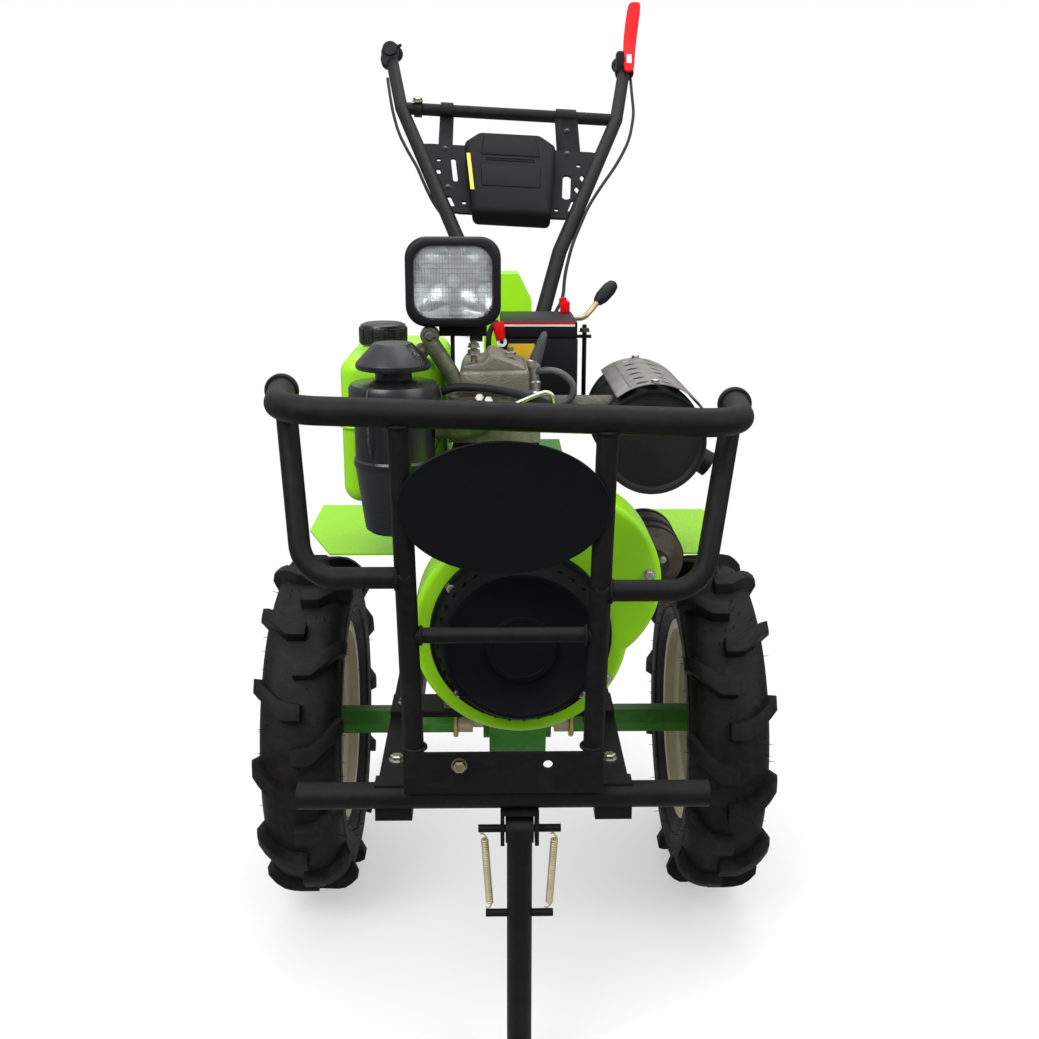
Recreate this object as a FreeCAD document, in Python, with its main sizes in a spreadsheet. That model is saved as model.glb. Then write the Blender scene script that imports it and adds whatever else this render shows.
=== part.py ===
"""A walk-behind garden cultivator: an air-cooled diesel engine on a two-wheeled gearbox.

The frame: +Z is up, the nose faces -Y and the handlebar rises toward +Y.  Lengths are in
millimetres.  Sizes along Y are measured from the wheels' axle, and one value, axle_y, moves the
whole machine so that its origin lies under the middle of its box.
"""

import FreeCAD
import Part
import Sketcher
import math
import os
import re

from FreeCAD import Placement, Rotation, Vector

# Each row: alias, value, what it is.
SIZES = (
    ("axle_y", -242.56, "where the axle stands from the origin"),
    ("seat_gap", 0.3, "gap left where one piece seats on another"),
    ("bearing_clearance", 0.05, "radial clearance of a turning shaft"),
    # wheels
    ("half_track", 320.5, "middle of the track to a tyre's centre plane"),
    ("tyre_radius", 275, "floor to the axle; the lugs reach the floor"),
    ("tyre_half_width", 68, "tyre's centre plane to the lugs' outer faces"),
    ("tyre_crown_half", 38, "half width of the flat crown"),
    ("crown_drop", 17, "lugs' tips to the crown between them"),
    ("shoulder_radius", 246, "where the crown turns to the shoulder"),
    ("shoulder_half", 53, "half width there"),
    ("sidewall_top", 228, "top of the sidewall"),
    ("sidewall_half", 58, "half width there"),
    ("sidewall_radius", 200, "where the sidewall is widest"),
    ("sidewall_wide", 60, "half width there"),
    ("tyre_steps", 39, "flats around a tyre"),
    ("lug_count", 13, "lugs on each half of a tyre"),
    ("lug_phase_left", 156, "a lug's low edge on the left tyre in degrees"),
    ("lug_phase_right", 162.7, "a lug's low edge on the right tyre in degrees"),
    ("bead_radius", 152, "bead seat"),
    ("flange_radius", 165, "rim flange"),
    ("rim_half_width", 45, "centre plane to the rim's edge"),
    ("rim_wall", 4, "thickness of the rim"),
    ("rim_well_depth", 14, "depth of the drop centre"),
    ("disc_offset", 14, "wheel disc outboard of the centre plane"),
    ("disc_plate", 6, "thickness of the wheel disc"),
    ("hub_flange_radius", 62, "flange bolted to the disc"),
    ("hub_flange_plate", 8, "thickness of that flange"),
    ("sleeve_flats", 40, "hexagonal sleeve across its flats"),
    ("sleeve_inner", 100, "middle of the track to the sleeve's inner end"),
    ("shaft_radius", 15, "half shaft"),
    ("shaft_reach", 70, "half shaft inside its sleeve"),
    ("coupling_radius", 23, "coupling collar on the half shaft"),
    ("coupling_inner", 68, "middle of the track to the collar"),
    # gearbox
    ("gearbox_x", 6, "gearbox centre from the middle of the track"),
    ("case_half", 46, "half width of the final drive case"),
    ("case_radius", 63, "round bottom of the case about the axle"),
    ("case_top", 520, "top of the final drive case"),
    ("boss_radius", 32, "axle boss"),
    ("boss_reach", 10, "axle boss beyond the case"),
    ("bearing_depth", 20, "half shaft inside its boss"),
    ("crank_height", 575, "crankshaft's centre"),
    ("crank_x", 3, "crankshaft's centre from the middle of the track"),
    ("clutch_radius", 112, "clutch housing"),
    ("clutch_front", -70, "front face of the clutch housing"),
    ("clutch_back", 70, "back face of the clutch housing"),
    ("gear_half", 85, "half width of the upper gear case"),
    ("gear_low", 480, "underside of the upper gear case"),
    ("gear_back", 250, "back of the upper gear case"),
    ("gear_high", 700, "top of the upper gear case"),
    ("column_half_x", 40, "half width of the shift column"),
    ("column_x", -8, "shift column from the middle of the track"),
    ("column_front", 165, "front of the shift column"),
    ("column_back", 245, "back of the shift column"),
    ("column_top", 995, "top of the shift column"),
    ("column_chamfer", 22, "cut corners of the shift column"),
    ("hitch_half", 30, "half width of the drawbar block"),
    ("hitch_overhang", 53, "drawbar block behind the upper gear case"),
    ("hitch_low", 296, "underside of the drawbar block"),
    ("hitch_rise", 58, "height of the drawbar block"),
    ("hitch_bore", 9, "radius of the drawbar's pin bore"),
    ("hitch_edge", 32, "pin bore to the block's back"),
    # engine bed
    ("rail_low", 382, "underside of the bed's rails"),
    ("rail_rise", 40, "height of the rails"),
    ("rail_width", 38, "width of a rail"),
    ("rail_left", -157, "centre of the left rail"),
    ("rail_right", 117, "centre of the right rail"),
    ("fender_step", 10, "rail's centre to a fender's inner edge"),
    ("rail_front", -482, "front end of the rails"),
    ("rail_back", -64, "back end of the rails"),
    ("bed_plate", 8, "thickness of the bed's cross plates"),
    ("bed_plate_length", 60, "length of a cross plate"),
    ("bed_front_y", -310, "front edge of the front cross plate"),
    # engine
    ("engine_half", 105, "half width of the crankcase"),
    ("engine_front", -300, "front of the crankcase"),
    ("engine_top", 690, "top of the crankcase"),
    ("cylinder_x", -30, "cylinder's centre from the middle of the track"),
    ("cylinder_y", -185, "cylinder's centre from the axle"),
    ("barrel_half", 44, "half width of the finned barrel's core"),
    ("fin_half_x", 58, "half width of the fins"),
    ("fin_half_y", 66, "half length of the fins"),
    ("fin_plate", 4, "thickness of a fin"),
    ("fin_pitch", 12, "from fin to fin"),
    ("fin_count", 8, "number of fins"),
    ("head_top", 862, "top of the cylinder head"),
    ("head_half_x", 62, "half width of the cylinder head"),
    ("head_half_y", 70, "half length of the cylinder head"),
    ("head_rise", 62, "height of the cylinder head"),
    ("cover_half_x", 47, "half width of the valve cover"),
    ("cover_half_y", 62, "half length of the valve cover"),
    ("cover_rise", 46, "height of the valve cover"),
    ("cover_round", 10, "rounding of the valve cover"),
    ("injector_radius", 7.5, "injector's cap"),
    ("injector_rise", 74, "height of the injector"),
    # fan shroud
    ("shroud_front", -388, "front face of the fan shroud"),
    ("shroud_radius", 141, "round part of the shroud about the crankshaft"),
    ("volute_x", 66, "centre of the volute's wide side"),
    ("volute_z", 642, "centre of the volute's wide side"),
    ("volute_radius", 119, "wide side of the volute"),
    ("duct_left", -92, "left side of the cooling duct"),
    ("duct_right", 92, "right side of the cooling duct"),
    ("duct_low", 600, "where the duct leaves the volute"),
    ("shroud_top", 770, "top of the shroud"),
    ("shroud_round", 9, "rounding of the shroud's front edge"),
    ("recoil_base", 118, "radius of the recoil cover at the shroud"),
    ("recoil_face", 97, "radius of the recoil cover's face"),
    ("recoil_depth", 52, "depth of the recoil cover"),
    ("recoil_hub", 44, "radius of the recoil cover's centre boss"),
    ("recoil_boss", 5, "depth of the centre boss"),
    ("starter_x", 190, "starter motor's centre"),
    ("starter_z", 628, "starter motor's centre"),
    ("starter_radius", 46, "starter motor"),
    ("starter_front", -262, "front of the starter motor"),
    ("starter_length", 130, "length of the starter motor"),
    ("starter_nose", 26, "length of its tapered front"),
    # tank and air cleaner
    ("tank_left", -241, "tank's left side"),
    ("tank_right", -97, "tank's right side"),
    ("tank_front", -228, "tank's front"),
    ("tank_back", 40, "tank's back"),
    ("tank_low", 706, "tank's underside"),
    ("tank_high", 912, "tank's top"),
    ("tank_round", 24, "rounding of the tank"),
    ("tank_shelf", 6, "thickness of the tank's bracket"),
    ("fuel_cap_x", -188, "fuel cap's centre"),
    ("fuel_cap_y", -130, "fuel cap's centre"),
    ("fuel_cap_radius", 35, "fuel cap"),
    ("fuel_cap_rise", 32, "height of the fuel cap"),
    ("filter_x", -161, "air cleaner's centre"),
    ("filter_y", -296, "air cleaner's centre"),
    ("filter_low", 690, "bottom of the air cleaner"),
    ("filter_low_radius", 42, "radius at the bottom"),
    ("filter_bowl_top", 781, "top of the tapered bowl"),
    ("filter_radius", 54, "radius of the body"),
    ("filter_rim_low", 864, "underside of the wide rim"),
    ("filter_rim_radius", 59, "wide rim"),
    ("filter_rim_top", 888, "top of the wide rim"),
    ("filter_neck_radius", 30, "neck under the cap"),
    ("filter_cap_low", 902, "underside of the rain cap"),
    ("filter_cap_radius", 50, "rain cap"),
    ("filter_cap_top", 940, "top of the rain cap"),
    ("intake_radius", 21, "intake pipe"),
    ("filter_port_z", 835, "centre of the intake pipe"),
    # exhaust
    ("muffler_x", 187, "muffler's centre"),
    ("muffler_z", 798, "muffler's centre"),
    ("muffler_radius", 73, "muffler"),
    ("muffler_front", -250, "front of the muffler"),
    ("muffler_length", 262, "length of the muffler"),
    ("shield_gap", 7, "air gap under the heat shield"),
    ("shield_plate", 2, "thickness of the heat shield"),
    ("shield_from", 30, "start of the shield's arc in degrees"),
    ("shield_to", 130, "end of the shield's arc in degrees"),
    ("shield_rib", 6, "width of the shield's ribs"),
    ("exhaust_radius", 15, "exhaust pipe"),
    ("exhaust_z", 838, "exhaust pipe's centre"),
    ("tail_radius", 14, "tail pipe"),
    ("tail_turn", 22, "fall of the tail pipe in degrees"),
    ("tail_reach", 15, "tail pipe beyond the muffler"),
    # battery
    ("battery_left", -22, "battery's left side"),
    ("battery_right", 95, "battery's right side"),
    ("battery_front", -52, "battery's front"),
    ("battery_back", 98, "battery's back"),
    ("battery_low", 785, "battery's underside"),
    ("battery_high", 932, "battery's top"),
    ("tray_plate", 4, "thickness of the tray"),
    ("tray_leg", 40, "width of the tray's legs"),
    ("terminal_radius", 9, "terminal posts"),
    ("terminal_rise", 16, "height of the terminals"),
    ("hold_rod_radius", 3.5, "hold-down rod"),
    ("hold_rod_x", 110, "hold-down rod"),
    # lamp
    ("lamp_x", -84, "lamp's centre"),
    ("lamp_z", 1013, "lamp's centre"),
    ("lamp_front", -255, "front of the lamp's bezel"),
    ("lamp_width", 126, "lamp's width"),
    ("lamp_height", 116, "lamp's height"),
    ("lamp_depth", 78, "lamp's depth"),
    ("lamp_round", 27, "rounded corners of the lamp"),
    ("bezel_depth", 10, "depth of the lens's recess"),
    ("lamp_wall", 14, "bezel around the lens"),
    ("lens_round", 22, "rounded corners of the lens"),
    ("lens_depth", 8, "thickness of the lens"),
    ("lamp_stem", 24, "width of the lamp's bracket"),
    ("lamp_stem_plate", 5, "thickness of the lamp's bracket"),
    # fenders
    ("fender_clearance", 50, "tyre's top to a fender's underside"),
    ("fender_plate", 3, "thickness of a fender"),
    ("fender_outer", 326, "outer edge of a fender"),
    ("fender_front", -124, "front edge of a fender"),
    ("fender_back_left", 160, "back edge of the left fender"),
    ("fender_back_right", 128, "back edge of the right fender"),
    ("fender_corner_x", 48, "cut corner across"),
    ("fender_corner_y", 128, "cut corner along"),
    ("arm_half", 16, "half width of a fender's arm"),
    ("arm_plate", 6, "thickness of a fender's arm"),
    # bumper
    ("bumper_x", -20, "bumper's centre from the middle of the track"),
    ("bumper_y", -505, "bumper's plane"),
    ("bumper_tube", 16.8, "radius of the bumper's tube"),
    ("bumper_z", 882.5, "top tube's centre"),
    ("bumper_drop", 8.5, "how far the bumper's right side hangs lower than its middle"),
    ("top_tube_x", -11.5, "top tube's centre from the middle of the track"),
    ("bumper_half", 265.5, "half width of the top tube at its bends"),
    ("bumper_splay", 15.5, "how far the returns spread"),
    ("bumper_bend", 55, "bend radius of the top tube"),
    ("bumper_return", 130, "length of the returns"),
    ("end_cap_radius", 20, "end cap"),
    ("end_cap_plate", 6, "thickness of an end cap"),
    ("loop_z", 682, "height of the loops' low run"),
    ("loop_half_high", 268, "half width at the loops' top"),
    ("loop_half_low", 236, "half width at the loops' bottom bend"),
    ("loop_top_y", -428, "where a loop meets the return"),
    ("loop_tube", 13, "radius of the loops' tube"),
    ("loop_bend", 45, "bend radius of the loops"),
    ("post_half_high", 120, "half spacing of the posts at the top"),
    ("post_half_low", 109, "half spacing of the posts at the foot"),
    ("post_tube", 12.8, "radius of a post"),
    ("crossbar_z", 618, "crossbar's centre"),
    ("crossbar_tube", 9.5, "radius of the crossbar"),
    ("oval_half_x", 123, "oval plate's half width"),
    ("oval_half_z", 79, "oval plate's half height"),
    ("oval_z", 779, "oval plate's centre"),
    ("oval_plate", 4, "thickness of the oval plate"),
    # front support
    ("channel_low", 424, "underside of the front channel"),
    ("channel_rise", 48, "height of the front channel"),
    ("channel_half", 122, "half width of the front channel"),
    ("channel_plate", 5, "thickness of the front channel"),
    ("channel_hole", 6, "radius of the channel's holes"),
    ("channel_hole_half", 54, "half spacing of the holes"),
    ("channel_hole_rise", 32, "underside of the channel to its holes"),
    ("channel_bolt_radius", 8, "bolt head in the left hole"),
    ("channel_bolt_head", 5, "height of the bolt head in the left hole"),
    ("channel_flange", 34, "depth of the channel's foot"),
    ("cross_tube", 16.5, "radius of the cross tube"),
    ("cross_z", 404, "cross tube's centre"),
    ("cross_half", 256, "half length of the cross tube"),
    ("cross_y", -500, "cross tube's centre"),
    ("lug_half", 23, "half width of the rails' front lugs"),
    ("lug_front", -508, "front of the lugs"),
    ("lug_low", 373, "underside of the lugs"),
    # stand
    ("pivot_z", 357, "stand's pivot"),
    ("pivot_y", -500, "stand's pivot"),
    ("pivot_radius", 5, "stand's pivot bolt"),
    ("pivot_half", 52, "half length of the pivot bolt"),
    ("ear_gap", 19, "pivot's middle to an ear's inner face"),
    ("ear_plate", 5, "thickness of an ear"),
    ("ear_half", 16, "half width of an ear"),
    ("leg_half", 16, "half width of the leg's tube"),
    ("leg_eye", 18, "radius of the leg's eye"),
    ("leg_eye_half", 17.5, "half width of the leg's eye"),
    ("leg_rake", 3, "forward rake of the leg in degrees"),
    ("spring_half", 44, "half spacing of the springs' upper eyes"),
    ("spring_half_low", 38, "half spacing of the springs' lower eyes"),
    ("spring_eye", 240, "height of the springs' lower eyes"),
    ("spring_radius", 5, "radius of a spring"),
    ("foot_half", 27, "half width of the foot plate"),
    ("foot_plate", 6, "thickness of the foot plate"),
    # handlebar
    ("tilt_y", 205, "handlebar's pivot"),
    ("tilt_z", 900, "handlebar's pivot"),
    ("tilt_radius", 7, "handlebar's pivot bolt"),
    ("tilt_half", 82, "half length of the pivot bolt"),
    ("arm_tube", 13, "radius of the handlebar's arms"),
    ("arm_bend", 45, "bend radius of the arms"),
    ("arm_foot_half", 53, "half spacing of the arms at the pivot"),
    ("arm_slope", 33.7, "rise of the arms in degrees"),
    ("arm_run", 456, "knee to crossbar along the arms"),
    ("arm_knee_y", 340, "knee of the arms"),
    ("arm_knee_z", 1022, "knee of the arms"),
    ("arm_eye", 21, "radius of the arms' eyes"),
    ("eye_width", 22, "width of the arms' eyes"),
    ("arm_knee_half", 86, "half spacing of the arms at the knee"),
    ("bar_half", 218, "half spacing of the arms at the crossbar"),
    ("bar_tube", 12, "radius of the handlebar's crossbar"),
    ("handle_x", 1, "handlebar's centre from the middle of the track"),
    ("bar_drop", 11, "how far the handlebar's right side hangs lower than its middle"),
    ("hand_half", 252, "half spacing of the hand grips"),
    ("hand_y", 903, "where the arms turn into the grips"),
    ("hand_z", 1397, "where the arms turn into the grips"),
    ("grip_length", 120, "length of a grip"),
    ("grip_radius", 18, "radius of a grip"),
    ("grip_rise", 5, "rise of the grips in degrees"),
    ("panel_top", 132, "crossbar to the panel's top edge along the arms"),
    ("panel_half", 88, "half width of the control panel"),
    ("panel_shoulder", 34, "cut corners of the panel's top along the arms"),
    ("panel_low_half", 70, "half width of the panel's bottom"),
    ("panel_high_half", 60, "half width of the panel's top"),
    ("panel_rise", 259, "height of the control panel"),
    ("panel_depth", 38, "depth of the control panel"),
    ("strap_left", -126, "middle of the left strap"),
    ("strap_left_half", 14, "half width of the left strap"),
    ("strap_right", 115, "middle of the right strap"),
    ("strap_right_half", 23, "half width of the right strap"),
    ("bracket_plate", 4, "thickness of the panel's bracket"),
    ("bracket_from", 126, "crossbar to the web's top along the arms"),
    ("bracket_to", 350, "crossbar to the web's foot along the arms"),
    # gear lever
    ("gear_lever_y", 178, "where the gear lever leaves the column"),
    ("gear_lever_z", 921, "where the gear lever leaves the column"),
    ("gear_elbow_x", 126, "gear lever's elbow from the middle of the track"),
    ("gear_tip_out", 23, "knob's foot beyond the elbow"),
    ("gear_tip_back", 20, "knob's foot behind the elbow"),
    ("gear_tip_rise", 22, "knob's foot above the elbow"),
    ("gear_bend", 20, "bend radius of the gear lever"),
    ("knob_overlap", 4, "rod's end inside the knob"),
    ("gear_rod", 5, "radius of the gear lever's rod"),
    ("knob_radius", 12, "gear lever's knob"),
    ("knob_length", 50, "length of the knob"),
    ("lever_width", 32, "width of the clutch lever"),
    ("lever_plate", 14, "thickness of the clutch lever"),
    ("lever_length", 160, "length of the clutch lever"),
    ("lever_rise", 49, "rise of the clutch lever in degrees"),
    ("lever_lean", 8, "outward lean of the clutch lever in degrees"),
    ("lever_aside", 10, "foot of the clutch lever outside its grip"),
    ("cable_radius", 3, "a control cable"),
)

doc = FreeCAD.newDocument("Cultivator")
sheet = doc.addObject("Spreadsheet::Sheet", "Sizes")
for row, (alias, number, meaning) in enumerate(SIZES, start=1):
    sheet.set(f"A{row}", str(number))
    sheet.setAlias(f"A{row}", alias)
    sheet.set(f"B{row}", meaning)
doc.recompute()
NAMES = {alias for alias, _, _ in SIZES}
PIECES = []


class Numbers:
    """The sheet's values as attributes, for the shapes that are worked out in code."""

    def __getattr__(self, alias):
        return float(sheet.get(alias))


size = Numbers()


def formula(text):
    """Puts the sheet's name before each alias in an expression."""
    return re.sub(r"[a-z][a-z0-9_]*", lambda m: "Sizes." + m[0] if m[0] in NAMES else m[0], str(text))


def bind(thing, **formulas):
    """Binds properties of an object; x, y and z are its place."""
    for key, text in formulas.items():
        path = f".Placement.Base.{key}" if key in "xyz" else key
        thing.setExpression(path, formula(text))
    return thing


def block(name, x, y, z):
    """A box by its two faces along each axis."""
    box = doc.addObject("Part::Box", name)
    bind(box, Length=f"({x[1]}) - ({x[0]})", Width=f"({y[1]}) - ({y[0]})", Height=f"({z[1]}) - ({z[0]})")
    return bind(box, x=x[0], y=y[0], z=z[0])


TURNS = {
    "x": Rotation(Vector(0, 1, 0), 90),
    "y": Rotation(Vector(1, 0, 0), -90),
    "z": Rotation(),
}


def rod(name, along, radius, start, length):
    """A cylinder along one axis from the middle of its first face."""
    cylinder = doc.addObject("Part::Cylinder", name)
    cylinder.Placement = Placement(Vector(), TURNS[along])
    bind(cylinder, Radius=radius, Height=length)
    return bind(cylinder, x=start[0], y=start[1], z=start[2])


def fused(name, shapes):
    """Several overlapping shapes as one solid."""
    whole = doc.addObject("Part::MultiFuse", name)
    whole.Shapes = shapes
    whole.Refine = True
    return whole


def less(name, base, tool):
    """One shape with another taken out of it."""
    rest = doc.addObject("Part::Cut", name)
    rest.Base = base
    rest.Tool = tool
    rest.Refine = True
    return rest


def rounded(name, base, radius, keep):
    """Rounds the edges of a shape for which keep(edge) is true."""
    doc.recompute()
    fillet = doc.addObject("Part::Fillet", name)
    fillet.Base = base
    number = float(radius)
    picked = [i for i, edge in enumerate(base.Shape.Edges, start=1) if keep(edge)]
    fillet.Edges = [(i, number, number) for i in picked]
    return fillet


def drawn(body, points):
    """A closed outline on the body's own XY plane, each corner bound to the sheet."""
    plane = next(o for o in body.Origin.OriginFeatures if o.Role == "XY_Plane")
    sketch = body.newObject("Sketcher::SketchObject", body.Name + "_outline")
    sketch.AttachmentSupport = [(plane, "")]
    sketch.MapMode = "FlatFace"
    start = [Vector(10 * math.cos(k), 10 * math.sin(k), 0) for k in range(len(points))]
    for k in range(len(points)):
        sketch.addGeometry(Part.LineSegment(start[k], start[(k + 1) % len(points)]), False)
    for k, (across, along) in enumerate(points):
        sketch.addConstraint(Sketcher.Constraint("Coincident", k - 1 if k else len(points) - 1, 2, k, 1))
        for kind, text in (("DistanceX", across), ("DistanceY", along)):
            number = sketch.addConstraint(Sketcher.Constraint(kind, -1, 1, k, 1, 1.0))
            sketch.setExpression(f"Constraints[{number}]", formula(text))
    return sketch


def turned(name, along, points, at):
    """A body of revolution; each point is a radius and a place along the axis."""
    body = doc.addObject("PartDesign::Body", name)
    sketch = drawn(body, points)
    spin = body.newObject("PartDesign::Revolution", name + "_turned")
    spin.Profile = sketch
    spin.ReferenceAxis = (sketch, ["V_Axis"])
    spin.Angle = 360
    sketch.Visibility = False
    body.Placement = Placement(Vector(), FROM_Y[along])
    return bind(body, x=at[0], y=at[1], z=at[2])


FROM_Y = {
    "x": Rotation(Vector(0, 0, 1), -90),
    "y": Rotation(),
    "z": Rotation(Vector(1, 0, 0), 90),
}


def padded(name, facing, points, depth, at):
    """A body cut from plate; the outline faces along an axis and is thickened that way."""
    body = doc.addObject("PartDesign::Body", name)
    sketch = drawn(body, points)
    pad = body.newObject("PartDesign::Pad", name + "_pad")
    pad.Profile = sketch
    pad.setExpression("Length", formula(depth))
    body.Placement = Placement(Vector(), FACING[facing])
    return bind(body, x=at[0], y=at[1], z=at[2])


# -y: the outline's x, y are the machine's x, z.  x: they are its y, z.  z: its x, y.
FACING = {
    "-y": Rotation(Vector(1, 0, 0), 90),
    "x": Rotation(Vector(1, 1, 1), 120),
    "z": Rotation(),
}


def bent_path(points, bends):
    """A wire of straight runs joined by tangent arcs; bends holds one radius per inner point."""
    edges = []
    start = points[0]
    for corner, after, radius in zip(points[1:-1], points[2:], bends):
        before = corner - start
        onward = after - corner
        turn = before.getAngle(onward)
        reach = radius * math.tan(turn / 2)
        enter = corner - before.normalize() * reach
        leave = corner + onward.normalize() * reach
        inward = (onward - before).normalize()
        middle = corner + inward * (radius / math.cos(turn / 2) - radius)
        edges.append(Part.LineSegment(start, enter).toShape())
        edges.append(Part.Arc(enter, middle, leave).toShape())
        start = leave
    edges.append(Part.LineSegment(start, points[-1]).toShape())
    return Part.Wire(edges)


def tube(points, radius, bends):
    """A round bar swept along a bent path."""
    path = bent_path(points, bends)
    heading = points[1] - points[0]
    ring = Part.Wire(Part.Circle(points[0], heading, radius).toShape())
    bar = path.makePipeShell([ring], True, False, 1)
    return bar if bar.Volume > 0 else bar.reversed()


def made(name, shape):
    """A piece whose shape is worked out in code."""
    piece = doc.addObject("Part::Feature", name)
    piece.Shape = shape
    return piece


def piece(thing, label):
    """Names a finished sub-part and moves it from the axle's frame to the machine's."""
    thing.Label = label
    here = "Sizes.axle_y"
    base = dict(thing.ExpressionEngine).get(".Placement.Base.y")
    thing.setExpression(".Placement.Base.y", here if base is None else f"{base} + {here}")
    PIECES.append(thing)
    return thing


SIDES = ((-1, "left"), (1, "right"))
CABLE_SHARE = 0.45
BAR_Y = "(arm_knee_y + arm_run * cos(arm_slope * 1 deg))"
BAR_Z = "(arm_knee_z + arm_run * sin(arm_slope * 1 deg))"
RAILS = {-1: "rail_left", 1: "rail_right"}
RAIL_TOP = "(rail_low + rail_rise)"
BED_TOP = "(rail_low + rail_rise + bed_plate)"
DISC_INNER = "(half_track + disc_offset)"
FENDER_Z = "(2 * tyre_radius + fender_clearance)"


def largest(shape):
    """The biggest solid of a shape that was cut."""
    return max(shape.Solids, key=lambda solid: solid.Volume)


def coped(shape, *others):
    """A tube cut where it meets others."""
    for other in others:
        shape = largest(shape.cut(other))
    return shape


def round_bar(start, end, radius):
    """A straight round bar between two points."""
    return Part.makeCylinder(radius, (end - start).Length, start, end - start)


# ------------------------------------------------------------------ wheels
def around(side, across, radius, degrees):
    """A point of a wheel: its place across the wheel's side, its radius and its angle."""
    turn = math.radians(degrees)
    x = side * (size.half_track + across)
    return Vector(x, radius * math.cos(turn), size.tyre_radius + radius * math.sin(turn))


def faceted(corners, steps, side):
    """A ring of flat facets; each corner is a place across and a radius that a circle clears."""
    flats = []
    pitch = 360 / steps
    for k in range(steps):
        for first, second in zip(corners, corners[1:] + corners[:1]):
            ring = [(first, k), (first, k + 1), (second, k + 1), (second, k)]
            points = [around(side, across, radius, turn * pitch) for (across, radius), turn in ring]
            flats.append(Part.Face(Part.makePolygon(points + points[:1])))
    return solid_of(flats)


def solid_of(flats):
    """A solid closed by flat faces."""
    solid = Part.makeSolid(Part.makeShell(flats))
    return solid if solid.Volume > 0 else solid.reversed()


# Each station of a lug: the top corner's place outward and drop from the tip, the same of the
# corner inside the carcass, and the low and high edges' angles behind the lug's low edge.
LUG = (
    ((-7, 0), (-7, 25), (0, 5.6)),
    ((20, 0), (20, 25), (0, 6.6)),
    ((44, 3), (40, 30), (4.8, 10.8)),
    ((66, 19), (50, 39), (9.2, 14.8)),
    ((68, 32), (54, 49), (9.8, 15.2)),
)


def lug(side, half, tip, angle):
    """One lug of flat faces; half is 1 on the outer half of the tread and -1 on the inner."""
    rings = []
    for top, root, edges in LUG:
        corners = [(top, edges[0]), (top, edges[1]), (root, edges[1]), (root, edges[0])]
        rings.append([around(side, half * out, tip - drop, angle - turn) for (out, drop), turn in corners])
    flats = []
    for first, second in zip(rings, rings[1:]):
        for k in range(4):
            here, onward = first[k], first[k - 3]
            flats.append(Part.Face(Part.makePolygon([here, onward, second[k], here])))
            flats.append(Part.Face(Part.makePolygon([onward, second[k - 3], second[k], onward])))
    for ring in (rings[0], rings[-1]):
        flats.append(Part.Face(Part.makePolygon(ring + ring[:1])))
    return solid_of(flats)


def tyre(side, word):
    """One tyre of flat facets with its lugs, which reach the floor."""
    lip = size.rim_half_width - size.rim_wall
    outline = [(lip, size.flange_radius + size.seat_gap), (size.sidewall_wide, size.sidewall_radius),
               (size.sidewall_half, size.sidewall_top), (size.shoulder_half, size.shoulder_radius),
               (size.tyre_crown_half, size.tyre_radius - size.crown_drop)]
    clear = math.cos(math.pi / size.tyre_steps)
    outline[0] = (lip, outline[0][1] / clear)
    inner = [(-lip, (size.bead_radius + size.rim_wall) / clear), (lip, (size.bead_radius + size.rim_wall) / clear)]
    mirrored = [(-across, radius) for across, radius in reversed(outline)]
    carcass = faceted(inner + outline + mirrored, int(size.tyre_steps), side)
    pitch = 360 / size.lug_count
    phase = size.lug_phase_left if side < 0 else size.lug_phase_right
    angles = [(1, phase + k * pitch) for k in range(int(size.lug_count))]
    angles += [(-1, phase + (k + 1 / 2) * pitch) for k in range(int(size.lug_count))]
    edges = [angle - back for _, angle in angles for back in LUG[0][2] + LUG[1][2]]
    tip = size.tyre_radius / max(-math.sin(math.radians(edge)) for edge in edges)
    lugs = [lug(side, half, tip, angle) for half, angle in angles]
    piece(made("tyre_" + word, largest(carcass.fuse(lugs).removeSplitter())), "tyre_" + word)


def rim(side, word):
    """One steel rim with its drop centre and its disc, which stands outboard."""
    seat = "bead_radius + rim_wall - seat_gap"
    bore = "bead_radius - rim_wall + seat_gap"
    well = "bead_radius - rim_well_depth - rim_wall"
    lip = "(rim_half_width - rim_wall + seat_gap)"
    body = turned("rim_" + word, "x", (
        ("hub_flange_radius / 2", f"{side} * disc_offset"),
        ("hub_flange_radius / 2", f"{side} * (disc_offset + disc_plate)"),
        (well, f"{side} * (disc_offset + disc_plate)"),
        (well, f"{side} * (rim_half_width / 2)"),
        (bore, f"{side} * (rim_half_width * 2 / 3)"),
        (bore, f"{side} * rim_half_width"),
        ("flange_radius", f"{side} * rim_half_width"),
        ("flange_radius", f"{side} * {lip}"),
        (seat, f"{side} * {lip}"),
        (seat, f"{-side} * {lip}"),
        ("flange_radius", f"{-side} * {lip}"),
        ("flange_radius", f"{-side} * rim_half_width"),
        (bore, f"{-side} * rim_half_width"),
        (bore, f"{-side} * (rim_half_width * 2 / 3)"),
        (well, f"{-side} * (rim_half_width / 2)"),
        (well, f"{side} * disc_offset"),
    ), (f"{side} * half_track", "0", "tyre_radius"))
    piece(body, "rim_" + word)


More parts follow.
